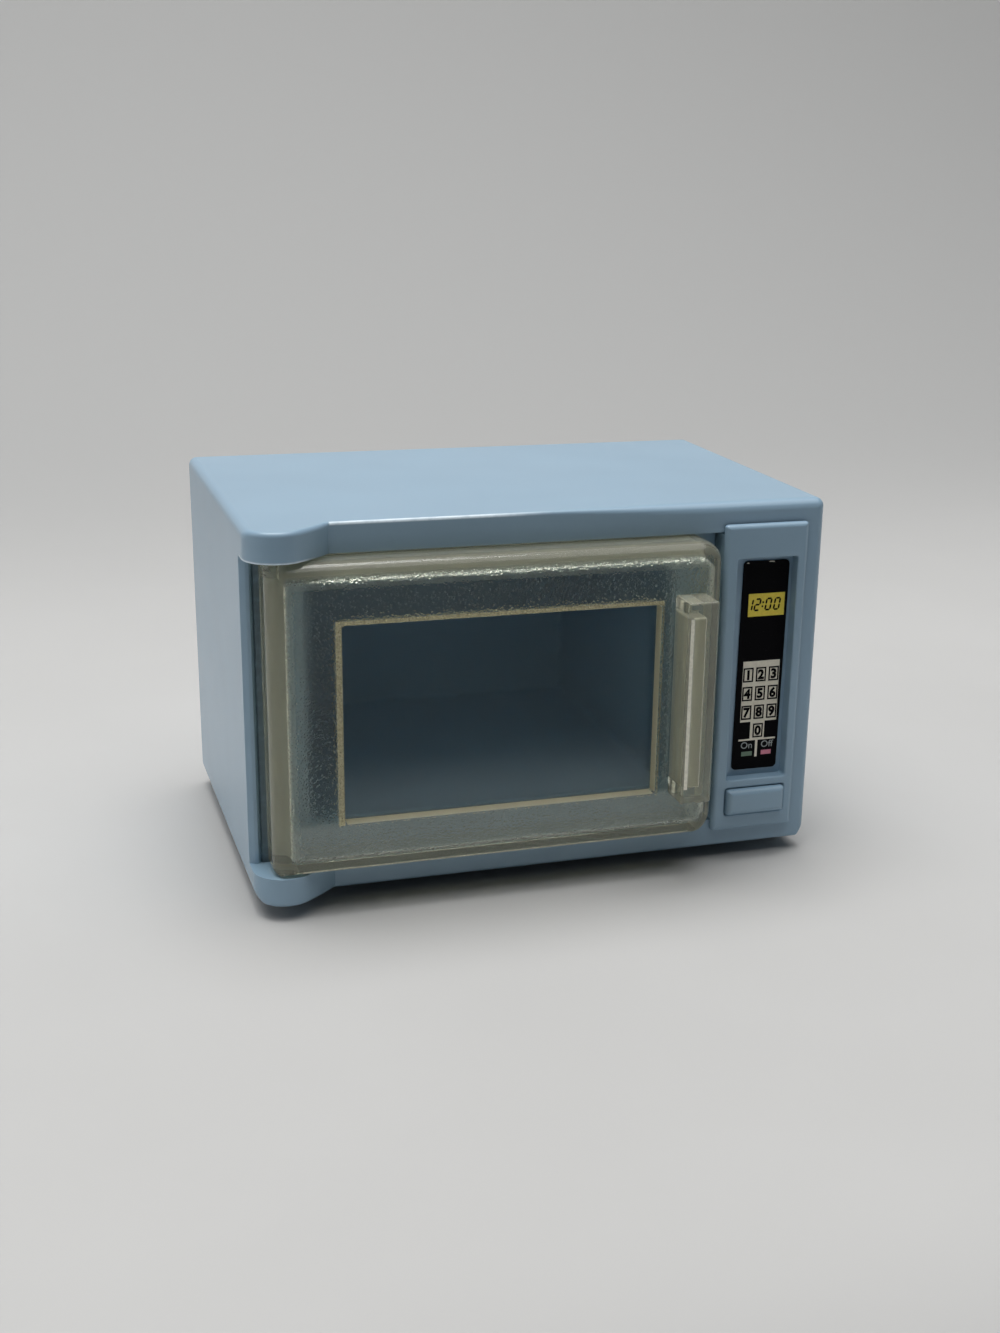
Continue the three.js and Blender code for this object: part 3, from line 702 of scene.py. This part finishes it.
films("display_window", [patch(*display)], 0, yellow_ink)
chip_z = label_high.z - 0.3
chips = [
    [(31.75, chip_z), (32.2, chip_z - 0.05), (32.05, chip_z + 0.16), (31.85, chip_z + 0.12)],
    [(35.35, chip_z + 0.1), (36.4, chip_z + 0.03), (36.25, chip_z + 0.2), (35.6, chip_z + 0.22)],
]
films("label_chips", chips, 0, white_ink)

# Display: the figures 12:00 in slanted bars, as a clock of this kind shows them. They are black ink
# on the yellow window.
segment_width, segment_gap, segment_slant = 0.27, 0.03, math.tan(math.radians(9))
figure_width, figure_height, figure_rise = 0.8, 1.74, 0.98
figure_places = ((-0.27, "1"), (0.98, "2"), (2.8, "0"), (4.22, "0"))
colon_x, colon_levels, colon_dot = 2.15, (0.42, 1.06), 0.27
figure_base = display[2] + figure_rise
figure_parts = {
    "1": ("high_right", "low_right"),
    "2": ("top", "high_right", "middle", "low_left", "bottom"),
    "0": ("top", "high_right", "low_right", "bottom", "low_left", "high_left"),
}


def bar_outline(part):
    """One bar of a figure, pointed at both ends, in the figure's own upright frame."""
    half, middle = segment_width / 2, figure_height / 2
    if part in ("top", "middle", "bottom"):
        z = {"top": figure_height, "middle": middle, "bottom": 0}[part]
        x0, x1 = segment_gap + half, figure_width - segment_gap - half
        return [(x0 - half, z), (x0, z - half), (x1, z - half), (x1 + half, z), (x1, z + half),
                (x0, z + half)]
    x = figure_width if part.endswith("right") else 0
    z0 = (middle if part.startswith("high") else 0) + segment_gap
    z1 = z0 + middle - 2 * segment_gap
    return [(x, z0), (x + half, z0 + half), (x + half, z1 - half), (x, z1), (x - half, z1 - half),
            (x - half, z0 + half)]


figure_bars = []
for place_x, sign in figure_places:
    for part in figure_parts[sign]:
        figure_bars.append([(display[0] + place_x + x + z * segment_slant, figure_base + z)
                            for x, z in bar_outline(part)])
for z in colon_levels:
    dot_x = display[0] + colon_x + z * segment_slant
    figure_bars.append(patch(dot_x, dot_x + colon_dot, figure_base + z, figure_base + z + colon_dot))
films("display_figures", figure_bars, 1, black_ink)

# Keypad: white keys in black outlines, and below them the ruled fields for on and off. All of it is
# printed on the black sheet.
films("keypad_white", [
    patch(keys_left, keys_right, keys_bottom, header_top),
    patch(zero_left, zero_right, zero_bottom, keys_bottom),
    patch(rule_left, keys_right, zero_bottom - rule_height, zero_bottom),
    patch(divider - divider_half, divider + divider_half, divider_bottom, zero_bottom - rule_height),
], 0, white_ink)

key_frames = Rule("key_frames", {"Columns": 3, "Rows": 3, "Pitch across": key_pitch_x,
                                 "Pitch up": key_pitch_z, "Key width": key_width, "Key height": key_height,
                                 "Line width": key_line, "Film": 2 * film})
key_given = key_frames.given
key_outline = key_frames.node("GeometryNodeCurvePrimitiveQuadrilateral",
                              {"Width": key_given["Key width"], "Height": key_given["Key height"]})["Curve"]
key_section = key_frames.node("GeometryNodeCurvePrimitiveQuadrilateral",
                              {"Width": key_given["Line width"], "Height": key_given["Film"]})["Curve"]
one_frame = key_frames.node("GeometryNodeCurveToMesh", {"Curve": key_outline,
                                                        "Profile Curve": key_section})["Mesh"]
key_grid = key_frames.node("GeometryNodeMeshGrid", {
    "Size X": key_frames.product(key_given["Pitch across"], 2.0),
    "Size Y": key_frames.product(key_given["Pitch up"], 2.0),
    "Vertices X": key_given["Columns"], "Vertices Y": key_given["Rows"]})["Mesh"]
zero_place = key_frames.offset(y=key_frames.product(key_given["Pitch up"], -2.0))
zero_point = key_frames.node("GeometryNodeMeshLine", {"Count": 1, "Start Location": zero_place})["Mesh"]
key_points = add(key_frames.tree, "GeometryNodeJoinGeometry")
for points in (key_grid, zero_point):
    key_frames.tree.links.new(points, key_points.inputs["Geometry"])
key_set = key_frames.node("GeometryNodeInstanceOnPoints", {"Points": key_points.outputs["Geometry"],
                                                           "Instance": one_frame})
frames = key_frames.piece("key_outlines", key_set["Instances"], black_ink)
upright_turn = Matrix.Rotation(math.radians(90), 4, "X")
keys_middle = Vector((keys_x, label_front - key_line_rise * film, keys_top - 1.5 * key_pitch_z))
frames.data.transform(Matrix.Translation(keys_middle) @ upright_turn)
finish_piece(frames, "case", black_ink)


def words(name, entries, size, weight, finish):
    """Printed figures or words; each entry gives the text and its middle on the label."""
    joined = bmesh.new()
    for text, x, z in entries:
        curve = bpy.data.curves.new(name, "FONT")
        curve.body = text
        curve.size = size
        curve.align_x = "CENTER"
        curve.align_y = "CENTER"
        curve.offset = weight
        curve.extrude = film
        curve.resolution_u = 3
        source = bpy.data.objects.new(name, curve)
        bpy.context.scene.collection.objects.link(source)
        bpy.context.view_layer.update()
        seen = source.evaluated_get(bpy.context.evaluated_depsgraph_get())
        flat = bpy.data.meshes.new_from_object(seen)
        middle_z = (max(v.co.y for v in flat.vertices) + min(v.co.y for v in flat.vertices)) / 2
        flat.transform(Matrix.Translation((x, label_front - 2 * film, z - middle_z)) @ upright_turn)
        joined.from_mesh(flat)
        bpy.data.objects.remove(source)
        bpy.data.meshes.remove(flat)
    bmesh.ops.remove_doubles(joined, verts=joined.verts, dist=weld)
    data = bpy.data.meshes.new(name)
    joined.to_mesh(data)
    joined.free()
    piece = bpy.data.objects.new(name, data)
    bpy.context.scene.collection.objects.link(piece)
    finish_piece(piece, "case", finish)


key_entries = []
for index, figure in enumerate("123456789"):
    key_entries.append((figure, keys_x + (index % 3 - 1) * key_pitch_x,
                        keys_middle.z + (1 - index // 3) * key_pitch_z))
key_entries.append(("0", keys_middle.x, keys_middle.z - 2 * key_pitch_z))
key_figure_size, key_figure_weight, switch_word_size = 2.05, 0.09, 1.55
switch_z = zero_bottom - 1.02
on_bar = patch(divider - 2.45, divider - 0.64, switch_z - 1.78, switch_z - 1.06)
off_bar = patch(divider + 0.88, divider + 2.58, switch_z - 1.74, switch_z - 1.02)
words("key_figures", key_entries, key_figure_size, key_figure_weight, black_ink)
words("switch_words", [("On", divider - 1.65, switch_z), ("Off", divider + 1.78, switch_z)],
      switch_word_size, 0.0, grey_ink)
films("on_bar", [on_bar], 0, green_ink)
films("off_bar", [off_bar], 0, pink_ink)


# Release button: a blue cap in the hole under the label. A collar behind the bezel keeps it in, and
# a post on its back carries the spring.
button_low, button_high = box_mm("release_button")
cap_side_gap, cap_low_gap = 0.15, 0.12
cap_rounding, collar_front, collar_back = 0.95, 0.0, 1.0
post_radius, post_chamfer, post_sides = 0.9, 0.2, 24
cap = (hole[0] + cap_side_gap, hole[1] - cap_side_gap, hole[2] + cap_low_gap, hole[3] - cap_low_gap,
       (hole_corner,) * 4)
button_x, button_z = (hole[0] + hole[1]) / 2, (hole[2] + hole[3]) / 2
button = skin("release_button_cap",
              [ring(cap, collar_back)] + rounded_front(cap, button_low.y, cap_rounding))
post_levels = [(collar_front, post_radius), (button_high.y - post_chamfer, post_radius),
               (button_high.y, post_radius - post_chamfer)]
post = bar("post", button_x, -button_z, post_levels, post_sides)
post.data.transform(Matrix.Rotation(math.radians(-90), 4, "X"))
collar = block("collar", button_low.x, button_high.x, collar_front, collar_back,
               button_low.z, button_high.z)
work(button, [collar, post], "UNION")
finish_piece(button, "button", blue_plastic, ["release_button"])


# Return spring: an open coil of bright steel wire round the button's post, between its collar and
# the plate behind.
spring_low, spring_high = box_mm("button_spring")
spring_turns, wire_radius = 4, 0.2
coil_radius = (spring_high.x - spring_low.x) / 2 - wire_radius
steel, steel_tree, steel_shader = new_finish("spring_steel", (0.52, 0.53, 0.54), 0.28)
steel_shader.inputs["Metallic"].default_value = 1
steel_place = add(steel_tree, "ShaderNodeTexCoord").outputs["Object"]
drawn = spread(steel_tree, grain(steel_tree, steel_place, 0.15, 3), 0.3, 0.7, 0.2, 0.4)
steel_tree.links.new(drawn, steel_shader.inputs["Roughness"])
coil = Rule("return_spring", {"Turns": float(spring_turns), "Coil radius": coil_radius,
                              "Wire radius": wire_radius,
                              "Height": spring_high.y - spring_low.y - 2 * wire_radius})
coil_line = coil.node("GeometryNodeCurveSpiral", {
    "Resolution": 24, "Rotations": coil.given["Turns"], "Start Radius": coil.given["Coil radius"],
    "End Radius": coil.given["Coil radius"], "Height": coil.given["Height"]})["Curve"]
wire = coil.node("GeometryNodeCurvePrimitiveCircle",
                 {"Resolution": 10, "Radius": coil.given["Wire radius"]})["Curve"]
coil_mesh = coil.node("GeometryNodeCurveToMesh", {"Curve": coil_line, "Profile Curve": wire,
                                                  "Fill Caps": True})["Mesh"]
spring = coil.piece("button_spring_coil", coil_mesh, steel)
spring.data.transform(Matrix.Translation((button_x, spring_low.y + wire_radius, button_z))
                      @ Matrix.Rotation(math.radians(-90), 4, "X"))
finish_piece(spring, "case", steel, ["button_spring"])
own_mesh(spring)


# Door: one clear moulding that has yellowed a little. Its border is grained, its sunk window and its
# hollow handle are polished, and two pins on its left end turn in the case's ears.
door_low, door_high = box_mm("door")
pin_length, pin_radius, pin_chamfer, pin_sides = 1.9, 1.2, 0.2, 28
door_bottom, door_top = door_low.z + pin_length, door_high.z - pin_length
handle_reach = 5.2
door_front, door_back = door_low.y + handle_reach, door_high.y
door_plate, door_rim, hinge_wall, top_wall = 1.5, 1.4, 2.6, 2.5
door_fillet, door_low_fillet, door_fillet_steps = 2.3, 0.7, 14
rim_edge, door_chamfer = 0.2, 1.2
hinge_corner, free_corner = 1.0, 3.3
window_margins = {"left": 10.3, "right": 9.8, "bottom": 7.1, "top": 8.85}
window_sink, pane, window_corner, window_edge = 2.0, 1.2, 0.5, 0.25
pane_back_rounding = ((0, 0.2), (0.06, 0.06), (0.2, 0))
pocket_side, pocket_edge, pocket_lip = 0.6, 0.25, 0.15
handle_width, handle_side = 4.8, 2.9
handle_low_margin, handle_high_margin = 6.9, 7.4
handle_wall, handle_free_wall, handle_end = 1.0, 1.7, 2.4
handle_corner, handle_fillet, handle_fillet_steps, handle_root = 0.4, 0.45, 5, 0.4
core_corner, core_edge, past_plate = 0.25, 0.2, 2
pad_height, pad_root = 0.12, 0.3
pad_places = ((-8.3, 44.3, 2.1), (20.1, 45.0, 2.0))

door_radii = (free_corner, free_corner, hinge_corner, hinge_corner)
door_outline = (door_low.x, door_high.x, door_bottom, door_top, door_radii)
tray = (door_low.x + hinge_wall, door_high.x - door_rim, door_bottom + door_rim, door_top - top_wall,
        (free_corner - door_rim, free_corner - door_rim, hinge_corner, hinge_corner))
window = (door_low.x + window_margins["left"], door_high.x - window_margins["right"],
          door_bottom + window_margins["bottom"], door_top - window_margins["top"], (window_corner,) * 4)
window_back = (window[0] - pocket_side, window[1] + pocket_side, window[2] - pocket_edge,
               window[3] + pocket_edge, (window_corner + pocket_edge,) * 4)
plate_inside = door_front + door_plate
pane_front = door_front + window_sink
inner_fillet = door_fillet - door_plate
door_rings = [ring(window_back, pane_front + pane - depth, inset) for depth, inset in pane_back_rounding]
door_rings += [ring(window_back, plate_inside + pocket_lip), ring(window_back, plate_inside, -pocket_lip)]
door_rings += [ring(tray, plate_inside + inner_fillet * (1 - math.cos(angle)),
                    inner_fillet * (1 - math.sin(angle))) for angle in mouth_angles]
door_rings += [ring(tray, door_back - rim_edge), ring(tray, door_back, -rim_edge),
               ring(door_outline, door_back, rim_edge), ring(door_outline, door_back - rim_edge)]
door_rings += rounded_front(door_outline, door_front, door_fillet, door_fillet_steps, door_low_fillet)
door_rings += [ring(window, door_front + window_edge * (1 - math.cos(angle)),
                    window_edge * (math.sin(angle) - 1)) for angle in mouth_angles[::2]]
door_rings += [ring(window, pane_front)]
door = skin("door_clear", door_rings)

handle = (door_high.x - handle_side - handle_width, door_high.x - handle_side,
          door_bottom + handle_low_margin, door_top - handle_high_margin, (handle_corner,) * 4)
handle_bar = skin("handle_bar", [ring(handle, plate_inside - handle_root)]
                  + rounded_front(handle, door_low.y, handle_fillet, handle_fillet_steps))
core = (handle[0] + handle_wall, handle[1] - handle_free_wall, handle[2] + handle_end,
        handle[3] - handle_end, (core_corner,) * 4)
core_end = door_low.y + handle_wall
handle_core = skin("handle_core", [ring(core, plate_inside + past_plate),
                                   ring(core, core_end + core_edge), ring(core, core_end, core_edge)])
low_pin = bar("low_pin", hinge_x, hinge_y,
              [(door_low.z, pin_radius - pin_chamfer), (door_low.z + pin_chamfer, pin_radius),
               (door_bottom + door_rim, pin_radius)], pin_sides)
high_pin = bar("high_pin", hinge_x, hinge_y,
               [(door_top - door_rim, pin_radius), (door_high.z - pin_chamfer, pin_radius),
                (door_high.z, pin_radius - pin_chamfer)], pin_sides)
pads = [skin("pad", [ring((x - size, x + size, z - size, z + size, (size,) * 4), plate_inside + height)
                     for height in (pad_height, -pad_root)]) for x, z, size in pad_places]
work(door, [handle_bar, low_pin, high_pin] + pads, "UNION")
chamfer_reach = door_chamfer + overrun
chamfer = prism("chamfer", [(door_low.x - overrun, door_back + overrun),
                            (door_low.x - overrun, door_back - chamfer_reach),
                            (door_low.x + chamfer_reach, door_back + overrun)], 0, case_height)
work(door, [handle_core, chamfer], "DIFFERENCE")

clear, clear_tree, clear_shader = new_finish("clear_plastic", (0.9, 0.89, 0.8), 0.08)
clear_shader.inputs["IOR"].default_value = 1.48
clear_place = add(clear_tree, "ShaderNodeTexCoord").outputs["Object"]
grain_cell, grain_height, ripple_size, ripple_height = 0.45, 0.085, 3.0, 0.02
front_skin, wall_skin, inner_skin, lap, grip_lap = 0.3, 0.06, 0.6, 0.2, 0.1
border_from_hinge, border_from_edge, border_behind = 2.6, 1.9, 3.4
core_skin, tray_margins, rim_margins = 0.5, (1.2, 1.0, 1.3), (1.6, 0.7, 1.2)
band_right, band_foot, band_limits = 0.3, 0.1, ((0.05, 0.05), (0.95, 0.7))
edge_start, edge_end, foot_margin, foot_below, foot_above = 0.35, 0.9, 4, 0.2, 0.5
border_clear, foot_painted_cloud, side_painted_cloud, crest_cloud, pane_painted_cloud, pane_painted_cloud_height = (
    0.11, 0.17, 0.07, 0.07, 0.06, 10)


def zone(left=None, right=None, front=None, back=None, bottom=None, top=None, soft=0.15):
    """1 inside a box on the door and 0 outside it. A side that isn't given stays open."""
    return within(clear_tree, clear_place, (left, front, bottom), (right, back, top), soft)


def product(*shares):
    """The shares multiplied with one another."""
    result = shares[0]
    for share in shares[1:]:
        result = maths(clear_tree, "MULTIPLY", result, share)
    return result


def outside(share):
    """1 where the share is 0."""
    return maths(clear_tree, "SUBTRACT", 1.0, share)


def changed(value, *changes):
    """The value after each change, which is a share of the door and what is added there."""
    for share, amount in changes:
        value = maths(clear_tree, "MULTIPLY_ADD", share, amount, value)
    return value


# The zones: the border's grain, the window and the walls round it, the handle, and the hollow rim.
open_pane = zone(window[0], window[1], bottom=window[2], top=window[3])
border = zone(door_low.x + border_from_hinge, door_high.x - border_from_edge, door_front - front_skin,
              door_front + border_behind, door_bottom + border_from_edge, door_top - border_from_edge, 0.5)
grip = zone(handle[0] - grip_lap, handle[1] + grip_lap, bottom=handle[2] - grip_lap,
            top=handle[3] + grip_lap)
grained = product(border, outside(open_pane), outside(grip))
inner_side = zone(front=door_front + inner_skin, soft=0.3)
grain_depth = product(grained, spread(clear_tree, inner_side, 0, 1, 1.0, 0.5))
pocket = zone(window_back[0] - lap, window_back[1] + lap, door_front + pocket_lip,
              pane_front + pane - grip_lap, window_back[2] - lap, window_back[3] + lap, 0.1)
within_walls = zone(window[0] + wall_skin, window[1] - wall_skin, bottom=window[2] + wall_skin,
                    top=window[3] - wall_skin, soft=0.04)
recess_wall = product(pocket, outside(within_walls))
grip_core = zone(core[0] - lap, core[1] + lap, door_low.y + core_skin, plate_inside + core_skin,
                 core[2] - lap, core[3] + lap, 0.1)
tray_hollow = zone(tray[0] + tray_margins[0], tray[1] - tray_margins[1], top=tray[3] - tray_margins[2],
                   soft=0.3)
rim_back = zone(door_low.x + rim_margins[0], door_high.x - rim_margins[1], plate_inside - front_skin,
                top=door_top - rim_margins[2], soft=0.3)
rim_inside = product(rim_back, outside(tray_hollow))
# Painted reflection: a beige band round the window stands for the light that the recess walls reflect
# inside the plastic.
band_in, band_out = (zone(window[0] - left, window[1] + band_right, None, door_front + front_skin,
                          window[2] - band_foot, window[3] + top, 0.2) for left, top in band_limits)
frame_painted_band = maths(clear_tree, "SUBTRACT", band_out, band_in)
# Painted glint: a pale strip along the handle's left edge.
grip_painted_edge = zone(handle[0] + edge_start, handle[0] + edge_end, None, door_low.y + inner_skin, core[2],
                 core[3], 0.12)
# Painted glint: a pale line along the door's foot.
foot_painted_line = zone(door_low.x + foot_margin, door_high.x - foot_margin, None, door_front + inner_skin,
                 door_bottom - foot_below, door_bottom + foot_above, 0.2)

# Gloss: the window is polished, and the border and the inner faces are duller.
rough = changed(0.07, (grain_depth, 0.10), (rim_inside, 0.27), (grip_core, 0.35), (recess_wall, 0.35))
clear_tree.links.new(rough, clear_shader.inputs["Roughness"])

# Haze: the border is a little cloudy. Painted light: it is made cloudier, and so paler, at its foot and its
# sides, where more light shows through it, and strips round the window, along the handle's edge and along
# the door's foot are made cloudy to show as pale reflections and glints.
pebbles = add(clear_tree, "ShaderNodeTexVoronoi", {"Vector": clear_place, "Scale": 1 / (grain_cell * MM)},
              feature="F1").outputs["Distance"]
crests = spread(clear_tree, pebbles, 0.12, 0.5, 1, 0)
uneven = changed(crests, (grain(clear_tree, clear_place, 0.4, 2), 0.7))
# Painted light: the border grows cloudier, and so paler, towards its foot and its sides.
foot_painted_haze = zone(top=window[2] + 0.3, soft=1.6)
side_painted_haze = outside(zone(tray[0] + 2.7, window[1] + 1.2, soft=2.4))
edge_painted_haze = maths(clear_tree, "MAXIMUM", product(foot_painted_haze, foot_painted_cloud), product(side_painted_haze, side_painted_cloud))
cloud = changed(edge_painted_haze, (crests, crest_cloud))
passing = changed(0.87, (border, border_clear))
passing = maths(clear_tree, "SUBTRACT", passing, product(cloud, grained))
# Painted light: the window's lower part is made a little cloudy, and so paler, where the floor's light
# shows in it.
pane_painted_veil = zone(top=window[2] + pane_painted_cloud_height / 2, soft=pane_painted_cloud_height)
passing = spread(clear_tree, open_pane, 0, 1, passing, changed(1.0, (pane_painted_veil, -pane_painted_cloud)))
# Painted glints: the band round the window, the handle's edge and the door's foot are made cloudy so that
# they show pale.
painted_glints = maths(clear_tree, "MAXIMUM", frame_painted_band, changed(grip_painted_edge, (foot_painted_line, 0.8)))
painted_glint_haze = spread(clear_tree, grain(clear_tree, clear_place, 0.3, 2), 0.3, 0.7, -0.35, -0.6)
passing = changed(passing, (recess_wall, -0.45), (grip, -0.06), (painted_glints, painted_glint_haze), (grip_painted_edge, -0.3),
                  (rim_inside, -0.12))
clear_tree.links.new(passing, clear_shader.inputs["Transmission Weight"])

# Colour: the plastic is yellowest at its edges and clearest in the window. The recess walls and the band
# round the window are painted beige for the light that they reflect inside the plastic, and the handle's
# left edge pale for its glint.
mirror = blended(clear_tree, border, (0.75, 0.75, 0.75), (0.37, 0.40, 0.44))
mirror = blended(clear_tree, open_pane, mirror, (0.30, 0.40, 0.44))
clear_tree.links.new(mirror, clear_shader.inputs["Specular Tint"])
tint = blended(clear_tree, border, (0.88, 0.87, 0.72), (0.88, 0.94, 0.90))
for share, colour in ((open_pane, (0.93, 0.98, 1.0)), (recess_wall, (0.80, 0.75, 0.54)),
                      (frame_painted_band, (0.80, 0.73, 0.46)), (grip_painted_edge, (0.95, 0.93, 0.80))):
    tint = blended(clear_tree, share, tint, colour)
clear_tree.links.new(tint, clear_shader.inputs["Base Color"])
pebbled = relief(clear_tree, product(uneven, grain_depth), grain_height)
wavy = relief(clear_tree, grain(clear_tree, clear_place, ripple_size, 2), ripple_height, pebbled)
clear_tree.links.new(wavy, clear_shader.inputs["Normal"])
absorb = add(clear_tree, "ShaderNodeVolumeAbsorption", {"Color": (0.80, 0.80, 0.58, 1), "Density": 50.0})
clear_out = clear_tree.nodes["Material Output"]
clear_tree.links.new(absorb.outputs["Volume"], clear_out.inputs["Volume"])
finish_piece(door, "door", clear, ["door"], 30)


# Table: a pale sheet of paper that lies flat under the toy and sweeps up behind it.
paper_half, sweep_start, sweep_radius, wall_height = 2.0, 0.22, 0.32, 1.6
sweep_turn, sweep_steps = 5, 19
cloud_size, far_start, far_end, near_start, near_end = 60, 0.06, 0.32, -0.11, -0.22
paper, paper_tree, paper_shader = new_finish("paper", (0.54, 0.54, 0.53), 0.85)
paper_place = add(paper_tree, "ShaderNodeTexCoord").outputs["Object"]
paper_cloud = spread(paper_tree, grain(paper_tree, paper_place, cloud_size, 3), 0.3, 0.7, 0, 1)
pale = blended(paper_tree, paper_cloud, (0.508, 0.505, 0.496), (0.522, 0.519, 0.51))
# Painted shade: the paper is painted darker from a little behind the toy up the sweep, where less lamp
# light reaches it. In front of the toy, out of sight, it turns dark grey, which the door's reflections
# show.
paper_depth = add(paper_tree, "ShaderNodeSeparateXYZ", {"Vector": paper_place}).outputs["Y"]
far_painted_shade = spread(paper_tree, paper_depth, far_start, far_end, 0, 1)
pale = blended(paper_tree, far_painted_shade, pale, (0.40, 0.40, 0.395))
near_by = spread(paper_tree, paper_depth, near_start, near_end, 0, 1)
paper_tree.links.new(blended(paper_tree, near_by, pale, (0.2, 0.2, 0.2)), paper_shader.inputs["Base Color"])
profile = [(-paper_half, 0)]
sweep_angles = [math.radians(sweep_turn * step) for step in range(sweep_steps)]
profile += [(sweep_start + sweep_radius * math.sin(angle), sweep_radius * (1 - math.cos(angle)))
            for angle in sweep_angles]
profile.append((sweep_start + sweep_radius, wall_height))
paper_mesh = bpy.data.meshes.new("table")
paper_points = [(x, y, z) for y, z in profile for x in (-paper_half, paper_half)]
paper_faces = [(2 * step, 2 * step + 1, 2 * step + 3, 2 * step + 2) for step in range(len(profile) - 1)]
paper_mesh.from_pydata(paper_points, [], paper_faces)
paper_mesh.polygons.foreach_set("use_smooth", [True] * len(paper_faces))
paper_mesh.materials.append(paper)
table = bpy.data.objects.new("table", paper_mesh)
bpy.context.scene.collection.objects.link(table)


# Light: a soft lamp overhead, a wider one round it that fills the shadows, and a weak one at the
# left. The room around is dim, and only reflections and the clear plastic show it paler.
room_light, room_seen = (0.03, 0.033, 0.036), (0.22, 0.22, 0.225)


def soft_light(name, size, power, place):
    """A square soft light that faces the toy."""
    data = bpy.data.lights.new(name, "AREA")
    data.size = size
    data.energy = power
    lamp = bpy.data.objects.new(name, data)
    lamp.location = place
    lamp.rotation_euler = Vector(place).to_track_quat("Z", "Y").to_euler()
    bpy.context.scene.collection.objects.link(lamp)


soft_light("key", 0.6, 6.3, (-0.05, 0.10, 1.05))
soft_light("fill", 1.7, 17.7, (-0.05, 0.0, 1.35))
soft_light("side", 0.8, 1.3, (-1.1, 0.0, 0.55))
room = bpy.data.worlds.new("room")
room.use_nodes = True
room_tree = room.node_tree
path = add(room_tree, "ShaderNodeLightPath").outputs
seen_share = maths(room_tree, "MAXIMUM", path["Is Camera Ray"],
                   maths(room_tree, "MAXIMUM", path["Is Glossy Ray"], path["Is Transmission Ray"]))
first_sight = maths(room_tree, "LESS_THAN", path["Diffuse Depth"], 0.5)
seen_share = maths(room_tree, "MULTIPLY", seen_share, first_sight)
room_tree.links.new(blended(room_tree, seen_share, room_light, room_seen),
                    room_tree.nodes["Background"].inputs["Color"])
bpy.context.scene.world = room
bpy.context.scene.view_settings.view_transform = "Standard"
